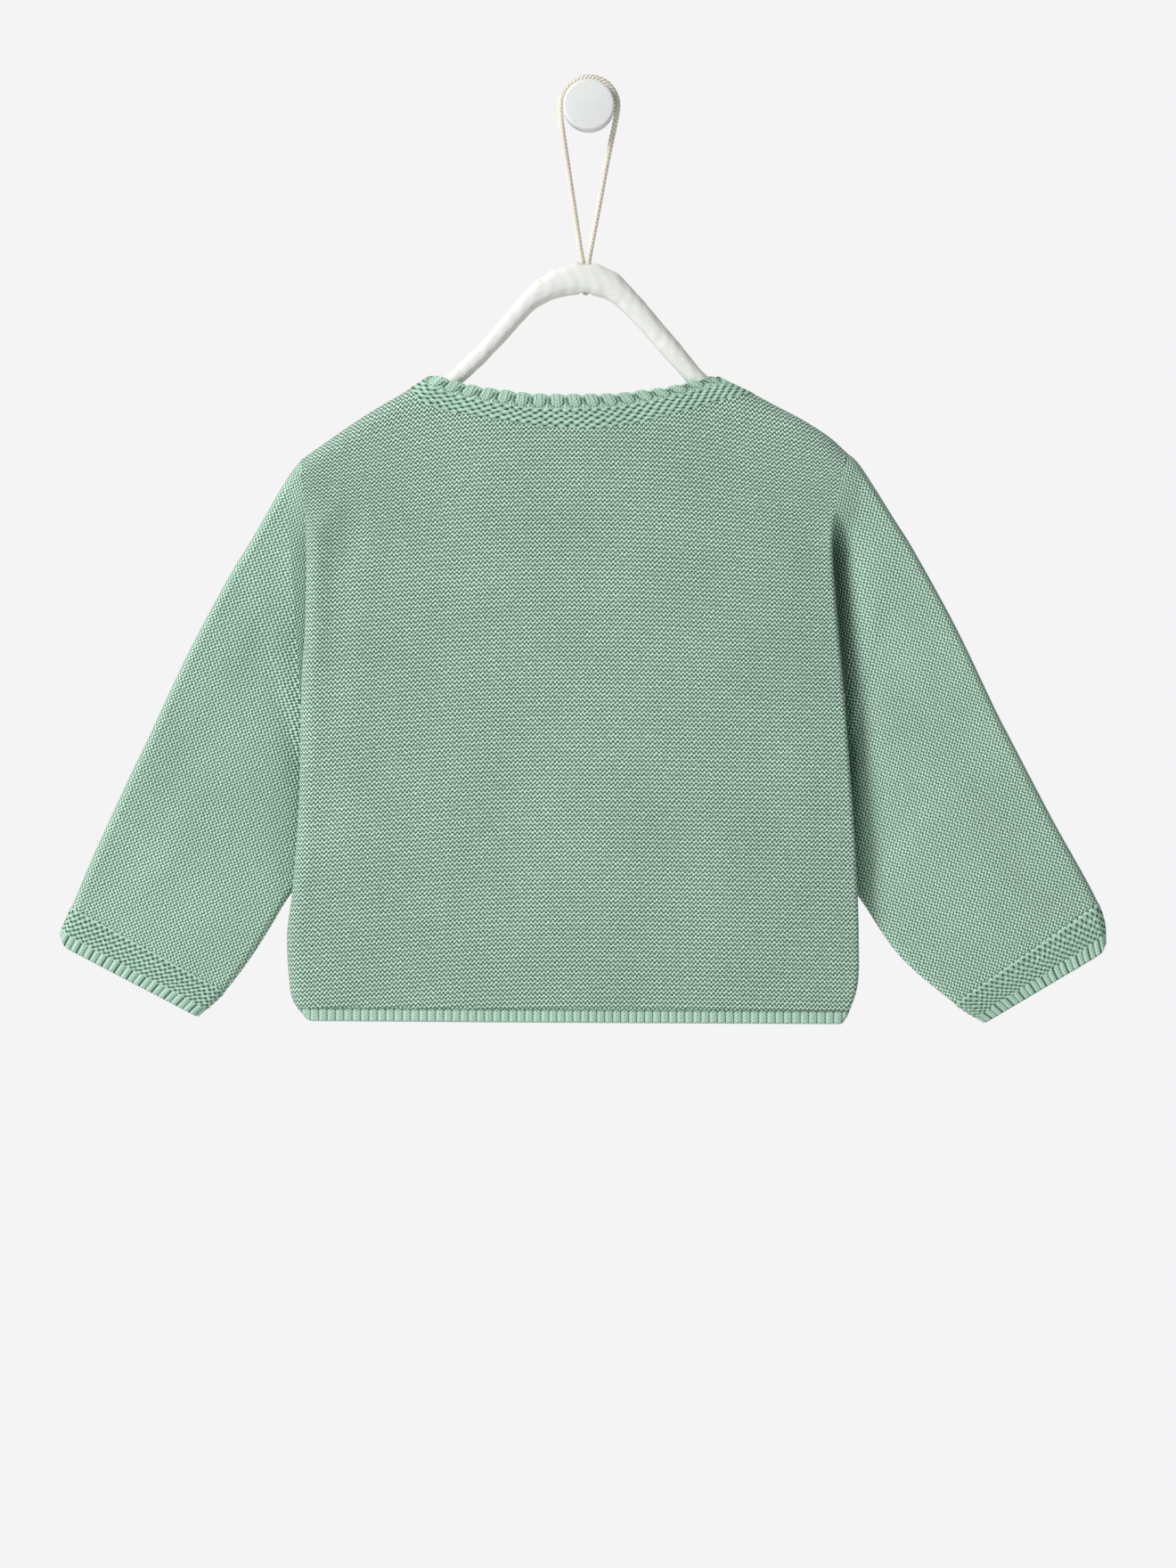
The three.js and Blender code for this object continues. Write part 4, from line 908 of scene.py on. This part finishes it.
def front_band(side):
    """An upright band from the neck to the hem."""
    parts = fronts[side]
    over = CLOTH + SEAM + 0.3 if side == "right" else 0
    cols = int(BAND_WIDTH / BAND_GRID)
    step = np.linspace(0, BAND_WIDTH, cols)
    low_z = float(hem_z(parts["seam_x"]))
    z = np.linspace(FRONT_NECK_Z - 0.4, low_z, int((FRONT_NECK_Z - low_z) / BAND_GRID))[:, None]
    x = np.broadcast_to(parts["seam_x"] - parts["way"] * step, (len(z), cols))
    z = np.broadcast_to(z, x.shape)
    proud = np.broadcast_to(over * step_up(step, 0, BAND_WIDTH - BAND_LAP), x.shape)
    skin, out, _ = body_surface(x, z, FRONT, proud)
    stitch, course = (z - low_z) / CUFF_STITCH, step / OPEN_COURSE
    flat_edge = step_up(step, 0, 1.5) * step_up(BAND_WIDTH - step, 0, 1.5)
    relief = purl_relief(stitch, np.broadcast_to(course, x.shape)) * flat_edge * 0.8 + 0.1
    outer, inner = skin + out * relief[..., None], skin - out * (CLOTH - 0.1)
    return knit_shell(f"{side}_front_band_knit", outer, inner, [(0, stitch_marks(stitch, course), open_purl)])


for side, parts in fronts.items():
    parts["front_band"] = front_band(side)

# %% [markdown]
# ## Twisted cotton cord
# The loop is a thin rope of three strands, 2.8 mm over all, that twist once in 5.8 mm. A tube for each
# strand shows the twist from every side, which a picture of it would not. A tube is a ring of points
# carried along a line.

# %% Tube maker
def across_path(path):
    """Two directions at right angles to a path, at each of its points."""
    way = unit(np.gradient(path, axis=0))
    side = unit(np.cross(way, (0.02, 1.0, 0.01)))
    return side, np.cross(side, way)


def pick(piece):
    """Make this piece the only one that the next operator works on."""
    bpy.ops.object.select_all(action="DESELECT")
    bpy.context.view_layer.objects.active = piece
    piece.select_set(True)


def edit_whole(piece, operator, **settings):
    """Run one edit-mode operator on all of a piece."""
    pick(piece)
    bpy.ops.object.mode_set(mode="EDIT")
    bpy.ops.mesh.select_all(action="SELECT")
    operator(**settings)
    bpy.ops.object.mode_set(mode="OBJECT")


def tube_points(path, radius, sides):
    side, other = across_path(path)
    turns = np.arange(sides) * 2 * math.pi / sides
    ring = side[:, None] * np.cos(turns)[:, None] + other[:, None] * np.sin(turns)[:, None]
    return path[:, None] + radius * ring


def tubes(name, paths, radius, sides, finish):
    """One piece with a round tube along each path."""
    points, faces, marks = [], [], []
    for path in paths:
        ring = tube_points(path, radius, sides)
        rows = len(ring)
        number = np.arange(rows * sides).reshape(rows, sides) + sum(len(p) for p in points)
        points.append(ring.reshape(-1, 3))
        for i in range(rows - 1):
            for j in range(sides):
                k = (j + 1) % sides
                faces.append([number[i, j], number[i, k], number[i + 1, k], number[i + 1, j]])
                marks += [(j / sides, i), ((j + 1) / sides, i), ((j + 1) / sides, i + 1), (j / sides, i + 1)]
        faces += [number[0, ::-1], number[-1]]
        marks += [(0, 0)] * sides + [(0, rows - 1)] * sides
    mesh = bpy.data.meshes.new(name)
    mesh.from_pydata((np.vstack(points) / 1000).tolist(), [], [[int(k) for k in face] for face in faces])
    mesh.uv_layers.new(name="strand").data.foreach_set("uv", np.array(marks, float).ravel())
    mesh.polygons.foreach_set("use_smooth", np.ones(len(faces), bool))
    mesh.materials.append(finish)
    piece = add_piece(name, mesh)
    edit_whole(piece, bpy.ops.mesh.normals_make_consistent, inside=False)
    print(f"{name}: {len(faces)} faces")
    return piece


def strands(path, offset, lay):
    """Three lines that twist round a path."""
    side, other = across_path(path)
    run = lengths_along(path)
    lines = []
    for k in range(3):
        turn = (2 * math.pi * (run / lay + k / 3))[:, None]
        lines.append(path + offset * (side * np.cos(turn) + other * np.sin(turn)))
    return lines


# %% Cord material
def cord_material():
    """Undyed cotton, combed and twisted: a warm white with fine fibres and faint stains, and no shine."""
    material, tree = new_material("twisted natural cotton")
    where = add_node(tree, "TexCoord")
    fibre = add_node(tree, "TexNoise", Vector=where.outputs["Object"], Scale=per_mm(3.2), Detail=3.0)
    patch = add_node(tree, "TexNoise", Vector=where.outputs["Object"], Scale=per_mm(0.06), Detail=2.0)
    tone = add_node(tree, "ValToRGB", Fac=fibre)
    tone.color_ramp.elements[0].position, tone.color_ramp.elements[0].color = 0.25, linear(0xD6CCB8)
    tone.color_ramp.elements[1].position, tone.color_ramp.elements[1].color = 0.7, linear(0xF4F0E4)
    stain = add_node(tree, "MapRange", Value=patch, From_Min=0.35, From_Max=0.75, To_Min=1.0, To_Max=0.86)
    colour = add_node(tree, "VectorMath", "SCALE", in0=tone, Scale=stain)
    relief = add_node(tree, "Bump", Strength=0.5, Distance=0.00015, Height=fibre)
    shader = add_node(tree, "BsdfPrincipled", Base_Color=colour, Normal=relief, Roughness=0.85,
                      Sheen_Weight=0.2, Sheen_Roughness=0.5, Specular_IOR_Level=0.3)
    add_node(tree, "OutputMaterial", Surface=shader)
    return material


# %% Hanging loop
cotton_cord = cord_material()
LOOP_RADIUS = 13.6
SLOT_X = -1.6
KNOT_TOP = -86.4
LAY = 5.8
in_slot = (KNOT_TOP + 0.3, -84, -78, -73)
arc = [(LOOP_RADIUS * math.cos(t), LOOP_RADIUS * math.sin(t)) for t in np.linspace(math.pi, 0, 9)]
left_leg = [(SLOT_X - 1.5, z) for z in in_slot] + [(-4.4, -66), (-7.4, -46), (-10.4, -26), (-12.9, -9)]
right_leg = [(12.2, -9), (8.6, -26), (4.9, -46), (1.1, -66)] + [(SLOT_X + 1.5, z) for z in in_slot[::-1]]
loop_path = even_places([(x, MID_Y, z) for x, z in left_leg + arc + right_leg], 620)
hanging_cord = tubes("twisted_loop", strands(loop_path, 0.68, LAY), 0.7, 8, cotton_cord)
print("loop length", round(lengths_along(loop_path)[-1]), "mm")

# %% [markdown]
# ## Knot
# A trefoil, the curve of an overhand knot, pulled tight in the slot's lower end. Only its lowest
# millimetres show under the arch.

# %% Knot in the slot
t = np.linspace(0, 2 * math.pi, 121)
knot_path = np.column_stack([SLOT_X + 0.72 * (np.sin(t) + 2 * np.sin(2 * t)), MID_Y - 0.55 * np.sin(3 * t),
                             KNOT_TOP - 1.3 + 0.42 * (np.cos(t) - 2 * np.cos(2 * t))])
loop_knot = tubes("cord_knot", strands(knot_path, 0.3, 5.0), 0.36, 7, cotton_cord)

# %% [markdown]
# ## Painted hanger
# The hanger is a steamed and bent stick under thick, chalky paint. Its solid has the right form but flat
# facets, so we copy that mesh, weld its corners, remesh it finely and smooth it. Small dents and brush
# lines are added as real bumps of a tenth of a millimetre, and the paint's material adds the fine grain.
# Chalk paint is water paint full of chalk, put on with a brush: it looks dull and a little uneven, with
# strokes 2 mm wide and 5 mm long and a few worn specks of wood. The peg's satin paint is smoother.

# %% Paint material
def paint_material(name, colour, strokes):
    """strokes: brush marks in a millimetre, along x, y and z."""
    material, tree = new_material(name)
    where = add_node(tree, "TexCoord")
    scale = [per_mm(count) for count in strokes]
    brush = add_node(tree, "VectorMath", "MULTIPLY", in0=where.outputs["Object"], in1=scale)
    lines = add_node(tree, "TexNoise", Vector=brush, Scale=1.0, Detail=4.0, Roughness=0.6)
    chips = add_node(tree, "TexNoise", Vector=where.outputs["Object"], Scale=per_mm(0.42), Detail=2.0)
    chip = add_node(tree, "MapRange", Value=chips, From_Min=0.735, From_Max=0.765, To_Min=0.0, To_Max=0.55)
    tone = add_node(tree, "MapRange", Value=lines, From_Min=0.3, From_Max=0.7, To_Min=0.955, To_Max=1.02)
    painted = add_node(tree, "VectorMath", "SCALE", in0=linear(colour)[:3], Scale=tone)
    worn = add_node(tree, "Mix", {"data_type": "RGBA"}, in0=chip, in6=painted, in7=linear(0xA39E92))
    relief = add_node(tree, "Bump", Strength=0.35, Distance=0.0004, Height=lines)
    shader = add_node(tree, "BsdfPrincipled", Base_Color=worn.outputs[2], Normal=relief, Roughness=0.55,
                      Specular_IOR_Level=0.4)
    add_node(tree, "OutputMaterial", Surface=shader)
    return material


chalk_paint = paint_material("brushed chalk paint on wood", 0xE2E4DE, (0.18, 0.5, 0.18))
peg_paint = paint_material("smooth satin paint on wood", 0xE0E2E0, (0.06, 0.06, 0.06))

# %% Hanger
def shape_with(piece, kind, **settings):
    """Give a piece a modifier with its settings, and apply it."""
    change = piece.modifiers.new(kind.lower(), kind)
    for key, value in settings.items():
        setattr(change, key, value)
    pick(piece)
    bpy.ops.object.modifier_apply(modifier=change.name)


hanger = add_piece("painted_hanger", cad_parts["hanger"].data.copy())
edit_whole(hanger, bpy.ops.mesh.remove_doubles, threshold=0.00002)
shape_with(hanger, "REMESH", mode="VOXEL", voxel_size=0.0008)
shape_with(hanger, "SMOOTH", factor=0.5, iterations=5)
co = np.array([v.co for v in hanger.data.vertices]) * 1000
normal = np.array([v.normal for v in hanger.data.vertices])
x, y, z = co.T
dent = 0.10 * np.sin(x * 0.9 + 1.7 * np.sin(z * 0.31)) * np.sin(y * 1.1 + x * 0.23)
dent += 0.12 * np.sin(x * 0.17 + 0.6) * np.sin(z * 0.21)
hanger.data.vertices.foreach_set("co", ((co + normal * (dent[:, None] + 0.15)) / 1000).ravel())
hanger.data.materials.clear()
hanger.data.materials.append(chalk_paint)
bpy.ops.object.shade_smooth()
print("hanger:", len(hanger.data.polygons), "faces")

# %% [markdown]
# ## Wall peg
# A turned peg is a cylinder with a small round edge. We add the cylinder at its size, turn it to point out
# of the wall, and bevel both of its rims.

# %% Wall peg
def add_rod(name, sides, radius, length, centre):
    """A cylinder that points out of the wall, with its place in its mesh."""
    bpy.ops.mesh.primitive_cylinder_add(vertices=sides, radius=radius, depth=length, location=centre,
                                        rotation=(math.pi / 2, 0, 0))
    bpy.ops.object.transform_apply(location=True, rotation=True, scale=True)
    rod = bpy.context.object
    rod.name = name
    return rod


low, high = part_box("wall_peg")
peg = add_rod("turned_peg", 96, (high.x - low.x) / 2, high.y - low.y, (low + high) / 2)
shape_with(peg, "BEVEL", width=0.0013, segments=5, limit_method="ANGLE")
bpy.ops.object.shade_smooth_by_angle(angle=math.radians(40))
peg.data.materials.append(peg_paint)
print("peg:", len(peg.data.polygons), "faces")

# %% [markdown]
# ## Buttons
# Five cream buttons, pressed from a polyester sheet: 12 mm across with a raised rim, a dished middle and
# four holes with thread. One button is a cylinder whose face is inset and pushed in. A boolean makes the
# holes, and a bevel rounds all edges. Polyester imitates horn: faint swirls of 4 mm, and pressed between
# polished plates, so it has a soft gloss.

# %% Button materials
def polyester_material():
    material, tree = new_material("pressed cream polyester")
    where = add_node(tree, "TexCoord")
    swirl = add_node(tree, "TexNoise", Vector=where.outputs["Object"], Scale=per_mm(0.26), Detail=3.0,
                     Distortion=1.5)
    tone = add_node(tree, "ValToRGB", Fac=swirl)
    tone.color_ramp.elements[0].position, tone.color_ramp.elements[0].color = 0.3, linear(0xE4DAC6)
    tone.color_ramp.elements[1].position, tone.color_ramp.elements[1].color = 0.7, linear(0xF6F1E6)
    shader = add_node(tree, "BsdfPrincipled", Base_Color=tone, Roughness=0.3, Coat_Weight=0.15)
    add_node(tree, "OutputMaterial", Surface=shader)
    return material


polyester = polyester_material()


# %% Model one button, then copy it
HOLE_OFF, HOLE_ROUND = 0.00145, 0.0008


def press_button(name, low, high):
    """One button that fills the box of its solid."""
    centre = (low + high) / 2
    button = add_rod(name, 48, (high.x - low.x) / 2, high.y - low.y, centre)
    bpy.ops.object.mode_set(mode="EDIT")
    bpy.ops.mesh.select_all(action="DESELECT")
    bpy.ops.object.mode_set(mode="OBJECT")
    for face in button.data.polygons:
        face.select = face.normal.y > 0.9
    bpy.ops.object.mode_set(mode="EDIT")
    bpy.ops.mesh.inset(thickness=0.0013, depth=0)
    bpy.ops.mesh.inset(thickness=0.0009, depth=-0.0007)
    bpy.ops.object.mode_set(mode="OBJECT")
    shape_with(button, "BEVEL", width=0.0004, segments=3, limit_method="ANGLE")
    for dx in (-HOLE_OFF, HOLE_OFF):
        for dz in (-HOLE_OFF, HOLE_OFF):
            drill = add_rod("drill", 20, HOLE_ROUND, 0.008, (centre.x + dx, centre.y, centre.z + dz))
            shape_with(button, "BOOLEAN", object=drill, operation="DIFFERENCE", solver="EXACT")
            bpy.data.objects.remove(drill)
    bpy.ops.object.shade_smooth_by_angle(angle=math.radians(35))
    button.data.materials.clear()
    button.data.materials.append(polyester)
    return button


first_low, first_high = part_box("button_1")
buttons = [press_button("pressed_button_1", first_low, first_high)]
for number in range(2, 6):
    low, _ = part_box(f"button_{number}")
    mesh = buttons[0].data.copy()
    shift = low - first_low
    for vertex in mesh.vertices:
        vertex.co += shift
    buttons.append(add_piece(f"pressed_button_{number}", mesh))
print("buttons:", len(buttons), "of", len(buttons[0].data.polygons), "faces")

# %% [markdown]
# ## Sewing thread
# Each button is sewn on with two pairs of stitches. A stitch comes up through one hole, lies over the
# dished face and goes down through the next.

# %% Sewing thread
threads = []
for number in range(1, 6):
    low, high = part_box(f"button_{number}")
    middle = (low + high) / 2 * 1000
    seat, top = low.y * 1000, high.y * 1000
    paths = []
    for dz in (-1.45, 1.45):
        for lift in (-0.3, 0.3):
            spots = [(-1.5, seat - 0.2), (-1.45, top - 0.9), (-1.1, top - 0.25), (0, top - 0.12),
                     (1.1, top - 0.25), (1.45, top - 0.9), (1.5, seat - 0.2)]
            paths.append(even_places([(middle.x + dx, y, middle.z + dz + lift) for dx, y in spots], 26))
    threads.append(tubes(f"button_thread_{number}", paths, 0.26, 8, cotton_cord))

# %% [markdown]
# ## Put each piece on the body in place of its solids
# Every piece rides on the one body, and a piece that stands for solids hides them.

# %% Ride and replace
dressing = [
    (back_cloth, "knit", ["back"]), (back_hem, "knit", ["back_hem"]), (band_back, "knit", ["neckband_back"]),
    (hanger, "painted_wood", ["hanger"]), (hanging_cord, "cord", ["hanging_loop"]),
    (loop_knot, "cord", ["loop_knot"]), (peg, "painted_peg", ["wall_peg"]),
]
for side, parts in fronts.items():
    knitted = {
        f"{side}_front": parts["cloth"], f"neckband_{side}": parts["band"], f"{side}_front_hem": parts["hem"],
        f"{side}_front_band": parts["front_band"], f"{side}_sleeve": sleeves[side],
        f"{side}_cuff": cuffs[side],
    }
    dressing += [(piece, "knit", [node]) for node, piece in knitted.items()]
dressing += [(button, "button", [f"button_{k + 1}"]) for k, button in enumerate(buttons)]
dressing += [(thread, "cord", []) for thread in threads]
for piece, slot, nodes in dressing:
    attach(piece, "root")
    if nodes:
        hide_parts(*nodes)
print("pieces:", len(dressing))

# %% [markdown]
# ## Floor and light
# A plain pale floor of matt studio paper lies well below. The light is a soft studio's: an even pale sky,
# a large lamp from the upper left, a weak one from the right, and one from behind for the other views. The
# picture sees a full bright sky, and the cloth is lit by a third of it, so that the stitches keep their
# shadows.

# %% Floor
def plain_material(name, colour):
    material, tree = new_material(name)
    shader = add_node(tree, "BsdfPrincipled", Base_Color=linear(colour), Roughness=0.9)
    add_node(tree, "OutputMaterial", Surface=shader)
    return material


bpy.ops.mesh.primitive_circle_add(vertices=96, radius=2.3, fill_type="NGON", location=(0, 0, -1.15))
floor = bpy.context.object
floor.name = "studio_floor"
floor.data.materials.append(plain_material("pale studio floor", 0xFAFAFA))

# %% Light
def lamp(name, place, target, size, power):
    """A round soft lamp that is turned to face the target."""
    bpy.ops.object.light_add(type="AREA", location=place)
    made = bpy.context.object
    made.name = name
    made.data.shape, made.data.size, made.data.energy = "DISK", size, power
    aim = [target[k] - place[k] for k in range(3)]
    tilt = math.atan2(math.hypot(aim[0], aim[1]), -aim[2])
    made.rotation_euler = (tilt, 0, math.atan2(aim[0], -aim[1]) + math.pi)


SKY = 0xF4F4F4
middle_of_cloth = (0, -0.015, -0.28)
lamp("key_lamp", (-2.1, -1.6, 1.3), middle_of_cloth, 1.3, 97)
lamp("fill_lamp", (1.9, -1.5, 0.1), middle_of_cloth, 1.4, 3)
lamp("back_lamp", (0.6, 2.0, 0.9), middle_of_cloth, 1.4, 14)
world = bpy.data.worlds.new("pale studio")
bpy.context.scene.world = world
world.use_nodes = True
world.node_tree.nodes.clear()
tree = world.node_tree
seen = add_node(tree, "LightPath")
seen_sky, lit_sky = 1.0, 0.34
strength = add_node(tree, "Mix", {"data_type": "FLOAT"}, in0=seen.outputs["Is Camera Ray"], in2=lit_sky,
                    in3=seen_sky)
sky = add_node(tree, "Background", Color=linear(SKY), Strength=strength)
add_node(tree, "OutputWorld", Surface=sky)
